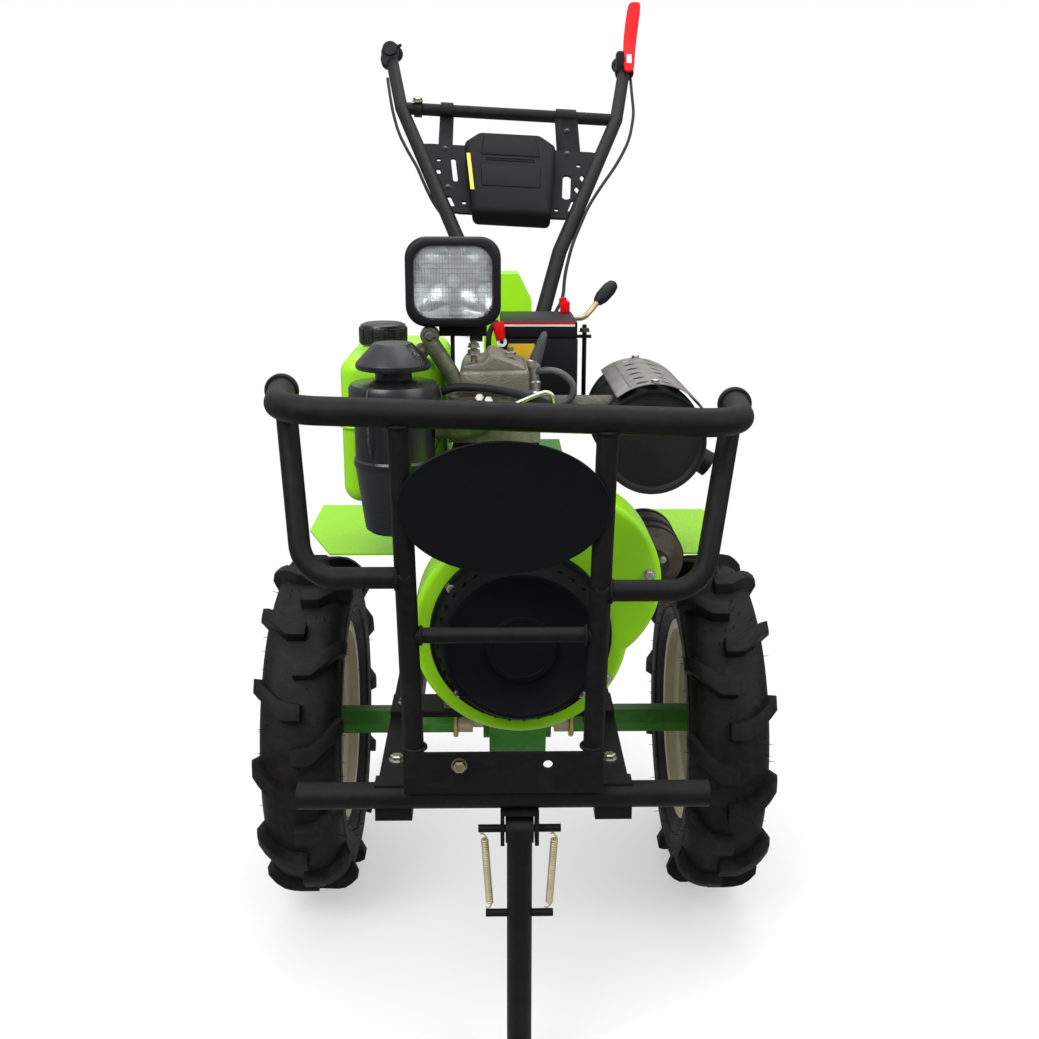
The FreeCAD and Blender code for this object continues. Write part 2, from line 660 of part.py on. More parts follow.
def hub(side, word):
    """The flange bolted inside the disc, with its hexagonal sleeve and bore."""
    low = "-1 * " + DISC_INNER if side < 0 else DISC_INNER + " - hub_flange_plate"
    flange = rod("hub_flange_" + word, "x", "hub_flange_radius", (low, "0", "tyre_radius"), "hub_flange_plate")
    sleeve = doc.addObject("Part::Prism", "hub_sleeve_" + word)
    sleeve.Polygon = 6
    sleeve.Placement = Placement(Vector(), TURNS["x"] * Rotation(Vector(0, 0, 1), 30))
    start = "-1 * " + DISC_INNER if side < 0 else "sleeve_inner"
    bind(sleeve, Circumradius="sleeve_flats / sqrt(3)", Height=DISC_INNER + " - sleeve_inner", x=start, z="tyre_radius")
    bore = rod("hub_bore_" + word, "x", "shaft_radius + bearing_clearance", (start, "0", "tyre_radius"),
               DISC_INNER + " - sleeve_inner")
    piece(less("hub_" + word, fused("hub_body_" + word, [flange, sleeve]), bore), "hub_" + word)


def half_shaft(side, word):
    """The shaft from the gearbox's boss into the sleeve, with its coupling collar."""
    face = f"(gearbox_x + {side} * (case_half + boss_reach - bearing_depth))"
    tip = f"({side} * (sleeve_inner + shaft_reach))"
    low, high = (tip, face) if side < 0 else (face, tip)
    shaft = rod("shaft_bar_" + word, "x", "shaft_radius", (low, "0", "tyre_radius"), f"{high} - {low}")
    start = "seat_gap - sleeve_inner" if side < 0 else "coupling_inner"
    collar = rod("shaft_collar_" + word, "x", "coupling_radius", (start, "0", "tyre_radius"),
                 "sleeve_inner - seat_gap - coupling_inner")
    piece(fused("half_shaft_" + word, [shaft, collar]), "half_shaft_" + word)


# ------------------------------------------------------------------ gearbox and bed
def gearbox():
    """Clutch housing, upper gear case and the final drive case about the axle."""
    case = ("gearbox_x - case_half", "gearbox_x + case_half")
    parts = [
        rod("case_round", "x", "case_radius", (case[0], "0", "tyre_radius"), "2 * case_half"),
        block("case_leg", case, ("-case_radius", "case_radius"), ("tyre_radius", "case_top")),
        rod("case_bosses", "x", "boss_radius", ("gearbox_x - case_half - boss_reach", "0", "tyre_radius"),
            "2 * (case_half + boss_reach)"),
        rod("clutch_housing", "y", "clutch_radius", ("crank_x", "clutch_front", "crank_height"),
            "clutch_back - clutch_front"),
        block("gear_case", ("-gear_half", "gear_half"), ("clutch_back - 2 * boss_reach", "gear_back"),
              ("gear_low", "gear_high")),
    ]
    whole = fused("gearbox_body", parts)
    for side, word in SIDES:
        face = f"(gearbox_x + {side} * (case_half + boss_reach))"
        start = face if side < 0 else f"{face} - bearing_depth"
        bore = rod("case_bore_" + word, "x", "shaft_radius + bearing_clearance", (start, "0", "tyre_radius"),
                   "bearing_depth")
        whole = less("gearbox_bored_" + word, whole, bore)
    piece(whole, "gearbox")


def shift_column():
    """The tall cover on the gear case with the handlebar's pivot bolt through it."""
    low = "gear_high"
    body = padded("column_plate", "-y", (
        ("-column_half_x", low),
        ("column_half_x", low),
        ("column_half_x", "column_top - 2 * column_chamfer"),
        ("column_half_x - column_chamfer", "column_top"),
        ("column_chamfer - column_half_x", "column_top"),
        ("-column_half_x", "column_top - 2 * column_chamfer"),
    ), "column_back - column_front", ("column_x", "column_back", "0"))
    bolt = rod("tilt_bolt", "x", "tilt_radius", ("column_x - tilt_half", "tilt_y", "tilt_z"), "2 * tilt_half")
    piece(fused("shift_column", [body, bolt]), "shift_column")


def drawbar():
    """The block behind the final drive that takes a tool's pin."""
    bar = block("drawbar_block", ("gearbox_x - hitch_half", "gearbox_x + hitch_half"),
                ("case_radius", "gear_back + hitch_overhang"), ("hitch_low", "hitch_low + hitch_rise"))
    pin = rod("drawbar_pin_bore", "z", "hitch_bore",
              ("gearbox_x", "gear_back + hitch_overhang - hitch_edge", "hitch_low"), "hitch_rise")
    piece(less("drawbar", bar, pin), "drawbar")


def engine_bed():
    """Two rails and two cross plates between the nose and the gearbox."""
    parts = []
    for side, word in SIDES:
        middle = RAILS[side]
        parts.append(block("rail_" + word, (f"{middle} - rail_width / 2", f"{middle} + rail_width / 2"),
                           ("rail_front", "rail_back"), ("rail_low", RAIL_TOP)))
    for start, word in (("bed_front_y", "front"), ("-case_radius - bed_plate_length", "back")):
        parts.append(block("bed_plate_" + word, ("rail_left - rail_width / 2", "rail_right + rail_width / 2"),
                           (start, f"{start} + bed_plate_length"), (RAIL_TOP + " - 1", BED_TOP)))
    piece(fused("engine_bed", parts), "engine_bed")


# ------------------------------------------------------------------ engine
def engine_block():
    """The crankcase as one plain block."""
    box = block("engine_block", ("crank_x - engine_half", "crank_x + engine_half"),
                ("engine_front", "clutch_front"), (BED_TOP, "engine_top"))
    piece(box, "engine_block")


def cylinder():
    """The barrel with its fins and the cylinder head on top."""
    def centred(name, half_x, half_y, z):
        return block(name, (f"cylinder_x - {half_x}", f"cylinder_x + {half_x}"),
                     (f"cylinder_y - {half_y}", f"cylinder_y + {half_y}"), z)

    head_low = "(head_top - head_rise)"
    parts = [centred("barrel", "barrel_half", "barrel_half", ("engine_top", head_low)),
             centred("head", "head_half_x", "head_half_y", (head_low, "head_top"))]
    for k in range(int(size.fin_count)):
        low = f"{head_low} - {k + 1} * fin_pitch"
        parts.append(centred(f"fin_{k + 1}", "fin_half_x", "fin_half_y", (low, f"{low} + fin_plate")))
    piece(fused("cylinder", parts), "cylinder")


def valve_cover():
    """The rounded cast cover on the head."""
    box = block("valve_cover_block", ("cylinder_x - cover_half_x", "cylinder_x + cover_half_x"),
                ("cylinder_y - cover_half_y", "cylinder_y + cover_half_y"), ("head_top", "head_top + cover_rise"))
    foot = size.head_top
    cover = rounded("valve_cover", box, size.cover_round,
                    lambda edge: max(v.Z for v in edge.Vertexes) > foot + 1)
    piece(cover, "valve_cover")


def injector():
    """The injector beside the valve cover, with its cap."""
    at = ("cylinder_x + head_half_x - injector_radius", "cylinder_y", "head_top")
    parts = [rod("injector_body", "z", "injector_radius * 4 / 5", at, "injector_rise"),
             rod("injector_cap", "z", "injector_radius", (at[0], at[1], "head_top + injector_rise / 2"),
                 "injector_rise / 2")]
    piece(fused("injector", parts), "injector")


def fan_shroud():
    """The green volute over the flywheel fan and the duct up to the cylinder."""
    depth = "engine_front - shroud_front"
    parts = [rod("shroud_round_part", "y", "shroud_radius", ("crank_x", "shroud_front", "crank_height"), depth),
             rod("shroud_volute", "y", "volute_radius", ("volute_x", "shroud_front", "volute_z"), depth),
             block("shroud_duct", ("duct_left", "duct_right"), ("shroud_front", "engine_front"),
                   ("duct_low", "shroud_top"))]
    whole = fused("shroud_body", parts)
    front = size.shroud_front
    shroud = rounded("fan_shroud", whole, size.shroud_round,
                     lambda edge: max(abs(v.Y - front) for v in edge.Vertexes) < 0.01)
    piece(shroud, "fan_shroud")


def recoil_cover():
    """The dished recoil starter cover with its centre boss."""
    body = turned("recoil_cover", "y", (
        ("0", "shroud_front"),
        ("recoil_base", "shroud_front"),
        ("recoil_base", "shroud_front - recoil_depth / 4"),
        ("recoil_face", "shroud_front - recoil_depth"),
        ("recoil_hub", "shroud_front - recoil_depth"),
        ("recoil_hub", "shroud_front - recoil_depth - recoil_boss"),
        ("0", "shroud_front - recoil_depth - recoil_boss"),
    ), ("crank_x", "0", "crank_height"))
    piece(body, "recoil_cover")


def starter_motor():
    """The electric starter on its cradle at the engine's side."""
    body = turned("starter_body", "y", (
        ("0", "starter_front"),
        ("starter_radius / 2", "starter_front"),
        ("starter_radius", "starter_front + starter_nose"),
        ("starter_radius", "starter_front + starter_length"),
        ("0", "starter_front + starter_length"),
    ), ("starter_x", "0", "starter_z"))
    cradle = block("starter_cradle", ("crank_x + engine_half", "starter_x"),
                   ("starter_front + starter_nose", "starter_front + starter_length - starter_nose"),
                   ("starter_z - starter_radius / 2", "starter_z + starter_radius / 2"))
    piece(fused("starter_motor", [body, cradle]), "starter_motor")


# ------------------------------------------------------------------ tank, air and exhaust
def fuel_tank():
    """The rounded tank, its shelf on the crankcase and its cap."""
    box = block("tank_block", ("tank_left", "tank_right"), ("tank_front", "tank_back"), ("tank_low", "tank_high"))
    piece(rounded("fuel_tank", box, size.tank_round, lambda edge: True), "fuel_tank")
    side = "crank_x - engine_half"
    parts = [block("shelf_top", ("tank_left + 2 * tank_round", side),
                   ("tank_front + tank_round", "cylinder_y + head_half_y"), ("tank_low - tank_shelf", "tank_low")),
             block("shelf_leg", (f"{side} - tank_shelf", side),
                   ("tank_front + tank_round", "cylinder_y + head_half_y"), ("engine_top - 2 * tank_round", "tank_low"))]
    piece(fused("tank_shelf", parts), "tank_shelf")
    cap = rod("fuel_cap", "z", "fuel_cap_radius", ("fuel_cap_x", "fuel_cap_y", "tank_high"), "fuel_cap_rise")
    piece(cap, "fuel_cap")


def air_cleaner():
    """The oil-bath air cleaner: bowl, wide rim, neck and rain cap."""
    edge = "(filter_cap_top - filter_cap_low)"
    body = turned("air_cleaner", "z", (
        ("0", "filter_low"),
        ("filter_low_radius", "filter_low"),
        ("filter_radius", "filter_bowl_top"),
        ("filter_radius", "filter_rim_low"),
        ("filter_rim_radius", "filter_rim_low"),
        ("filter_rim_radius", "filter_rim_top"),
        ("filter_neck_radius", "filter_rim_top"),
        ("filter_neck_radius", "filter_cap_low"),
        ("filter_cap_radius", "filter_cap_low"),
        ("filter_cap_radius", f"filter_cap_low + {edge} / 3"),
        ("filter_cap_radius / 2", "filter_cap_top"),
        ("0", "filter_cap_top"),
    ), ("filter_x", "filter_y", "0"))
    piece(body, "air_cleaner")


def intake_pipe():
    """The bent pipe from the air cleaner round to the cylinder head."""
    start = Vector(size.filter_x + size.filter_radius, size.filter_y, size.filter_port_z)
    corner = Vector(size.cylinder_x - size.head_half_x / 3, size.filter_y, size.filter_port_z)
    end = Vector(corner.x, size.cylinder_y - size.head_half_y, size.filter_port_z)
    pipe = made("intake_pipe", tube([start, corner, end], size.intake_radius, [size.intake_radius * 1.2]))
    piece(pipe, "intake_pipe")


def muffler():
    """The muffler with its tail pipe, the pipe from the head and the shield over it."""
    can = rod("muffler_can", "y", "muffler_radius", ("muffler_x", "muffler_front", "muffler_z"), "muffler_length")
    tail = rod("muffler_tail", "x", "tail_radius", ("muffler_x", "muffler_front + muffler_length / 2", "muffler_z"),
               "muffler_radius + tail_reach")
    tail.Placement = Placement(Vector(), Rotation(Vector(0, 1, 0), 90 + size.tail_turn))
    bind(tail, x="muffler_x", y="muffler_front + muffler_length / 2", z="muffler_z")
    piece(fused("muffler", [can, tail]), "muffler")
    pipe = rod("exhaust_bar", "x", "exhaust_radius", ("cylinder_x + head_half_x", "cylinder_y", "exhaust_z"),
               "muffler_x - cylinder_x - head_half_x")
    bite = rod("exhaust_bite", "y", "muffler_radius", ("muffler_x", "muffler_front", "muffler_z"), "muffler_length")
    piece(less("exhaust_pipe", pipe, bite), "exhaust_pipe")


def heat_shield():
    """The curved guard over the muffler on two ribs."""
    inner = "(muffler_radius + shield_gap)"
    at = ("muffler_x", "muffler_front", "muffler_z")
    outer_bar = rod("shield_outer", "y", inner + " + shield_plate", at, "muffler_length - 2 * shield_rib")
    outer_bar.Placement = Placement(Vector(), TURNS["y"] * Rotation(Vector(0, 0, 1), -size.shield_to))
    bind(outer_bar, Angle="shield_to - shield_from", x=at[0], y=at[1], z=at[2])
    inner_bar = rod("shield_inner", "y", inner, at, "muffler_length")
    shell = less("shield_shell", outer_bar, inner_bar)
    top = ("muffler_z + muffler_radius + seat_gap", f"muffler_z + {inner} + shield_plate / 2")
    ribs = []
    for k, start in enumerate(("muffler_front + shield_rib", "muffler_front + muffler_length - 4 * shield_rib")):
        ribs.append(block(f"shield_rib_{k + 1}", ("muffler_x - shield_rib", "muffler_x + shield_rib"),
                          (start, f"{start} + shield_rib"), top))
    piece(fused("heat_shield", [shell] + ribs), "heat_shield")


# ------------------------------------------------------------------ battery and lamp
def battery():
    """The battery with its two posts, and the tray that stands on the gear case."""
    case = block("battery_case", ("battery_left", "battery_right"), ("battery_front", "battery_back"),
                 ("battery_low", "battery_high"))
    posts = [rod("battery_post_1", "z", "terminal_radius",
                 ("battery_left + 2 * terminal_radius", "battery_front + 2 * terminal_radius", "battery_high"),
                 "terminal_rise"),
             rod("battery_post_2", "z", "terminal_radius",
                 ("battery_right - 2 * terminal_radius", "battery_back - 2 * terminal_radius", "battery_high"),
                 "terminal_rise")]
    piece(fused("battery", [case] + posts), "battery")
    middle = "((battery_front + battery_back) / 2)"
    parts = [block("tray_floor", ("battery_left - tray_plate", "hold_rod_x + hold_rod_radius"),
                   ("battery_front - tray_plate", "battery_back + tray_plate"),
                   ("battery_low - tray_plate", "battery_low")),
             block("tray_leg_block", ("gear_half / 2 - tray_leg", "gear_half / 2"),
                   ("clutch_back", "battery_back"), ("gear_high", "battery_low - tray_plate / 2")),
             rod("hold_down_rod", "z", "hold_rod_radius", ("hold_rod_x", middle, "battery_low - tray_plate"),
                 "battery_high - battery_low"),
             block("hold_down_clip", ("battery_right", "hold_rod_x + 3 * hold_rod_radius"),
                   (f"{middle} - 2 * hold_rod_radius", f"{middle} + 2 * hold_rod_radius"),
                   ("battery_high - 6 * tray_plate", "battery_high - 5 * tray_plate"))]
    piece(fused("battery_tray", parts), "battery_tray")


def lamp():
    """The headlamp: housing, lens and the stem from the cylinder head."""
    outer = block("lamp_block", ("lamp_x - lamp_width / 2", "lamp_x + lamp_width / 2"),
                  ("lamp_front", "lamp_front + lamp_depth"),
                  ("lamp_z - lamp_height / 2", "lamp_z + lamp_height / 2"))

    def across(edge):
        return len({round(v.Y, 3) for v in edge.Vertexes}) == 2

    shell = rounded("lamp_shell", outer, size.lamp_round, across)
    inset = "lamp_wall"
    recess = block("lamp_recess_block", (f"lamp_x - lamp_width / 2 + {inset}", f"lamp_x + lamp_width / 2 - {inset}"),
                   ("lamp_front", "lamp_front + bezel_depth"),
                   (f"lamp_z - lamp_height / 2 + {inset}", f"lamp_z + lamp_height / 2 - {inset}"))
    hollow = rounded("lamp_recess", recess, size.lens_round, across)
    piece(less("lamp_housing", shell, hollow), "lamp_housing")
    inset = "(lamp_wall + seat_gap)"
    glass = block("lamp_lens_block", (f"lamp_x - lamp_width / 2 + {inset}", f"lamp_x + lamp_width / 2 - {inset}"),
                  ("lamp_front + bezel_depth - lens_depth", "lamp_front + bezel_depth"),
                  (f"lamp_z - lamp_height / 2 + {inset}", f"lamp_z + lamp_height / 2 - {inset}"))
    piece(rounded("lamp_lens", glass, size.lens_round, across), "lamp_lens")
    stem = block("lamp_stem_bar", ("lamp_x - lamp_stem_plate", "lamp_x"),
                 ("lamp_front + lamp_depth / 2 - lamp_stem / 2", "lamp_front + lamp_depth / 2 + lamp_stem / 2"),
                 ("head_top", "lamp_z - lamp_height / 2"))
    piece(stem, "lamp_stem")


# ------------------------------------------------------------------ fenders
def fender(side, word):
    """A flat fender with a cut front corner, on an arm that stands on the bed's rail."""
    inner = f"({RAILS[side]} + {side} * fender_step)"
    outer = f"({side} * fender_outer)"
    plate = padded("fender_plate_" + word, "z", (
        (inner, "fender_front"),
        (f"{outer} - {side} * fender_corner_x", "fender_front"),
        (outer, "fender_front + fender_corner_y"),
        (outer, "fender_back_" + word),
        (inner, "fender_back_" + word),
    ), "fender_plate", ("0", "0", FENDER_Z))
    low, high = (f"{inner} - arm_plate", inner) if side < 0 else (inner, f"{inner} + arm_plate")
    arm = block("fender_arm_" + word, (low, high),
                ("rail_back - 2 * arm_half", "rail_back"), (BED_TOP, FENDER_Z + " + fender_plate / 2"))
    piece(fused("fender_" + word, [plate, arm]), "fender_" + word)


# ------------------------------------------------------------------ bumper
def bumper():
    """The nose guard of bent tube: top tube, side loops, posts and crossbar."""
    ends, bends = {}, {}
    for side, _ in SIDES:
        height = size.bumper_z - side * size.bumper_drop
        bends[side] = Vector(size.top_tube_x + side * size.bumper_half, size.bumper_y, height)
        ends[side] = bends[side] + Vector(side * size.bumper_splay, size.bumper_return, 0)
    top = tube([ends[-1], bends[-1], bends[1], ends[1]], size.bumper_tube, [size.bumper_bend] * 2)
    for side, _ in SIDES:
        cap = Part.makeCylinder(size.end_cap_radius, size.end_cap_plate, ends[side], Vector(0, 1, 0))
        top = top.fuse(cap.translated(Vector(0, -size.end_cap_plate / 2, 0)))
    piece(made("bumper_top_tube", largest(top.removeSplitter())), "bumper_top_tube")

    posts = {}
    under = Part.makeBox(4 * size.bumper_half, 4 * size.bumper_half, size.channel_low,
                         Vector(-2 * size.bumper_half, size.bumper_y - 2 * size.bumper_half, 0))
    for side, word in SIDES:
        foot = Vector(size.bumper_x + side * size.post_half_low, size.bumper_y, size.channel_low - size.post_tube)
        crown = Vector(size.bumper_x + side * size.post_half_high, size.bumper_y, size.bumper_z)
        posts[side] = coped(round_bar(foot, crown, size.post_tube), top, under)
        piece(made("bumper_post_" + word, posts[side]), "bumper_post_" + word)
    for side, word in SIDES:
        high = Vector(size.top_tube_x + side * size.loop_half_high, size.loop_top_y,
                      size.bumper_z - side * size.bumper_drop)
        level = size.loop_z - side * size.bumper_drop
        corner = Vector(size.bumper_x + side * size.loop_half_low, size.bumper_y, level)
        inner = Vector(size.bumper_x + side * size.post_half_low, size.bumper_y, level)
        loop = coped(tube([high, corner, inner], size.loop_tube, [size.loop_bend]), top, posts[side])
        piece(made("bumper_loop_" + word, loop), "bumper_loop_" + word)
    left = Vector(size.bumper_x - size.post_half_low, size.bumper_y, size.crossbar_z)
    right = Vector(size.bumper_x + size.post_half_low, size.bumper_y, size.crossbar_z)
    bar = coped(round_bar(left, right, size.crossbar_tube), posts[-1], posts[1])
    piece(made("bumper_crossbar", bar), "bumper_crossbar")


def oval_plate():
    """The bare oval plate on the posts."""
    outline = doc.addObject("Part::Ellipse", "oval_outline")
    bind(outline, MajorRadius="oval_half_x", MinorRadius="oval_half_z")
    plate = doc.addObject("Part::Extrusion", "oval_plate")
    plate.Base = outline
    plate.DirMode = "Custom"
    plate.Dir = Vector(0, 0, 1)
    plate.Solid = True
    plate.Placement = Placement(Vector(), FACING["-y"])
    bind(plate, LengthFwd="oval_plate", x="bumper_x", y="bumper_y - post_tube - seat_gap", z="oval_z")
    piece(plate, "oval_plate")


def front_support():
    """The cross tube, the front channel with its holes and the lugs at the rails' ends."""
    face = "(bumper_y - post_tube - seat_gap)"
    tube_top = "(cross_z + cross_tube)"
    parts = [
        rod("cross_tube_bar", "x", "cross_tube", ("bumper_x - cross_half", "cross_y", "cross_z"), "2 * cross_half"),
        block("channel_web", ("bumper_x - channel_half", "bumper_x + channel_half"),
              (f"{face} - channel_plate", face), (f"{tube_top} - channel_plate / 2", "channel_low + channel_rise")),
        block("channel_foot", ("bumper_x - channel_half", "bumper_x + channel_half"),
              (f"{face} - channel_plate", f"{face} + channel_flange"),
              (f"{tube_top} - channel_plate / 2", "channel_low")),
    ]
    for side, word in SIDES:
        middle = RAILS[side]
        parts.append(block("lug_" + word, (f"{middle} - lug_half", f"{middle} + lug_half"),
                           ("lug_front", "rail_front"), ("lug_low", RAIL_TOP)))
    hole_z = "channel_low + channel_hole_rise"
    parts.append(rod("channel_bolt", "y", "channel_bolt_radius",
                     ("bumper_x - channel_hole_half", f"{face} - channel_plate - channel_bolt_head", hole_z),
                     "channel_bolt_head + channel_plate / 2"))
    hole = rod("channel_hole_bar", "y", "channel_hole",
               ("bumper_x + channel_hole_half", f"{face} - 2 * channel_plate", hole_z), "3 * channel_plate")
    whole = fused("front_support_body", parts)
    whole.Refine = False
    piece(less("front_support", whole, hole), "front_support")


# ------------------------------------------------------------------ stand
def stand_bracket():
    """Two ears under the cross tube and the stand's pivot bolt."""
    plate_top = "(cross_z - cross_tube - seat_gap)"
    across = ("-ear_gap - ear_plate", "ear_gap + ear_plate")
    along = ("pivot_y - ear_half", "pivot_y + ear_half")
    parts = [block("stand_bridge", across, along, (f"{plate_top} - ear_plate", plate_top)),
             rod("stand_bolt", "x", "pivot_radius", ("-pivot_half", "pivot_y", "pivot_z"), "2 * pivot_half")]
    for side, word in SIDES:
        low, high = ("-ear_gap - ear_plate", "-ear_gap") if side < 0 else ("ear_gap", "ear_gap + ear_plate")
        parts.append(block("stand_ear_" + word, (low, high), along, ("pivot_z - ear_half", plate_top)))
    piece(fused("stand_bracket", parts), "stand_bracket")


def stand_leg():
    """The raked leg with its eye, its spring bar and its foot plate."""
    lean = math.radians(size.leg_rake)
    pivot = Vector(0, size.pivot_y, size.pivot_z)
    foot = Vector(0, size.pivot_y - size.pivot_z * math.tan(lean), 0)
    down = (foot - pivot).normalize()
    leg = round_bar(pivot, foot - down * size.foot_plate, size.leg_half)
    eye = Part.makeCylinder(size.leg_eye, 2 * size.leg_eye_half, pivot - Vector(size.leg_eye_half, 0, 0),
                            Vector(1, 0, 0))
    low = pivot + down * ((size.pivot_z - size.spring_eye) / math.cos(lean))
    reach = size.spring_half_low + size.spring_radius
    bar = Part.makeCylinder(size.pivot_radius, 2 * reach, low - Vector(reach, 0, 0), Vector(1, 0, 0))
    plate = Part.makeBox(2 * size.foot_half, 2 * size.foot_half, size.foot_plate,
                         foot - Vector(size.foot_half, size.foot_half, 0))
    hole = Part.makeCylinder(size.pivot_radius + size.bearing_clearance, 4 * size.leg_half,
                             pivot - Vector(2 * size.leg_half, 0, 0), Vector(1, 0, 0))
    shape = leg.fuse([eye, bar, plate]).cut(hole).removeSplitter()
    piece(made("stand_leg", largest(shape)), "stand_leg")
    springs = []
    rest = size.pivot_radius + size.seat_gap
    for side, _ in SIDES:
        upper = pivot + Vector(side * size.spring_half, 0, 0) + down * rest
        lower = low + Vector(side * size.spring_half_low, 0, 0) - down * rest
        springs.append(round_bar(upper, lower, size.spring_radius))
    piece(made("stand_springs", Part.makeCompound(springs)), "stand_springs")


# ------------------------------------------------------------------ handlebar
def handlebar():
    """Two bent arms from the pivot up to the grips, and the crossbar between them."""
    slope = math.radians(size.arm_slope)
    rise = math.radians(size.grip_rise)
    bar_y = size.arm_knee_y + size.arm_run * math.cos(slope)
    bar_z = size.arm_knee_z + size.arm_run * math.sin(slope)
    arms, grips = {}, {}
    for side, word in SIDES:
        drop = side * size.bar_drop
        foot = Vector(size.column_x + side * size.arm_foot_half, size.tilt_y, size.tilt_z)
        knee = Vector(size.handle_x / 2 + side * size.arm_knee_half, size.arm_knee_y, size.arm_knee_z)
        bar = Vector(size.handle_x + side * size.bar_half, bar_y, bar_z - drop)
        hand = Vector(size.handle_x + side * size.hand_half, size.hand_y, size.hand_z - drop)
        tip = hand + Vector(0, math.cos(rise), math.sin(rise)) * size.grip_length
        arm = tube([foot, knee, bar, hand, tip], size.arm_tube, [size.arm_bend] * 3)
        eye = Part.makeCylinder(size.arm_eye, size.eye_width, foot - Vector(size.eye_width / 2, 0, 0), Vector(1, 0, 0))
        hole = Part.makeCylinder(size.tilt_radius + size.bearing_clearance, 2 * size.eye_width,
                                 foot - Vector(size.eye_width, 0, 0), Vector(1, 0, 0))
        arms[side] = largest(arm.fuse(eye).cut(hole).removeSplitter())
        cable(word, (foot, knee, bar, hand))
        grips[side] = (hand, tip, bar)
        piece(made("handlebar_" + word, arms[side]), "handlebar_" + word)
    past = (grips[1][2] - grips[-1][2]).normalize() * (2 * size.arm_tube)
    rod_shape = coped(round_bar(grips[-1][2] - past, grips[1][2] + past, size.bar_tube), arms[-1], arms[1])
    piece(made("handlebar_crossbar", rod_shape), "handlebar_crossbar")
    for side, word in SIDES:
        hand, tip, _ = grips[side]
        ahead = (tip - hand).normalize()
        start = tip - ahead * (size.grip_length - size.arm_bend / 2)
        sleeve = round_bar(start, tip + ahead * size.arm_tube / 2, size.grip_radius)
        bore = round_bar(start - ahead, tip, size.arm_tube)
        piece(made("grip_" + word, sleeve.cut(bore)), "grip_" + word)
    hand, tip, _ = grips[1]
    root = hand + (tip - hand).normalize() * (size.arm_bend / 2)
    lever = Part.makeBox(size.lever_width, size.lever_length, size.lever_plate,
                         Vector(-size.lever_width / 2, 0, 0))
    lean = Rotation(Vector(1, 0, 0), size.lever_rise) * Rotation(Vector(0, 0, 1), -size.lever_lean)
    sag = size.lever_aside * math.sin(math.radians(size.lever_lean)) * math.sin(math.radians(size.lever_rise))
    place = Placement(root + Vector(size.lever_aside, 0, size.grip_radius + size.seat_gap - sag), lean)
    lever = lever.transformed(place.toMatrix(), True)
    piece(made("clutch_lever", lever), "clutch_lever")
    return rod_shape


# Each corner of a cable: how far up its arm from the knee, then outward and under the arm's axis.
CABLES = {
    "left": ((600, 16.5, 0), (522, 18.5, 0), (471, 20, 0), (394, 26, 0), (325, 22.5, 0), (274, 17.5, 0),
             (225, 17.2, 2), (175, 12.6, 12.4), (125, 2, 17.2), (50, 0, 16.6)),
    "right": ((636, 16.5, 0), (560, 26, 0), (500, 34, 0), (402, 42, 0), (309, 37, 0), (219, 24, 0),
              (151, 16.5, 0), (25, 16.5, 0), (-55, 20, 0), (-110, 28, 0), (-160, 17, 0)),
}


def cable(word, corners):
    """A control cable bound along the outside of one arm; corners are the arm's own, from the foot up."""
    foot, knee, bar, hand = corners
    outward = Vector(-1 if word == "left" else 1, 0, 0)
    points = []
    for run, out, under in CABLES[word]:
        start, end = (foot, knee) if run < 0 else (knee, bar)
        if run > (bar - knee).Length:
            start, end, run = bar, hand, run - (bar - knee).Length
        elif run < 0:
            run += (knee - foot).Length
        along = (end - start).normalize()
        aside = (outward - along * along.dot(outward)).normalize()
        below = along.cross(Vector(1, 0, 0)).normalize()
        below = -below if below.z > 0 else below
        points.append(start + along * run + aside * out + below * under)
    bends = []
    for before, corner, after in zip(points, points[1:], points[2:]):
        turn = (corner - before).getAngle(after - corner)
        shorter = min((corner - before).Length, (after - corner).Length)
        bends.append(CABLE_SHARE * shorter / math.tan(turn / 2))
    print("cable", word, "bend radii", [round(radius) for radius in bends])
    piece(made("cable_" + word, tube(points, size.cable_radius, bends)), "cable_" + word)


def arm_edge(run):
    """Inner edge of an arm at a distance below the crossbar, from the handlebar's centre."""
    return f"(bar_half - (bar_half - arm_knee_half) * ({run}) / arm_run - 3 / 2 * arm_tube)"


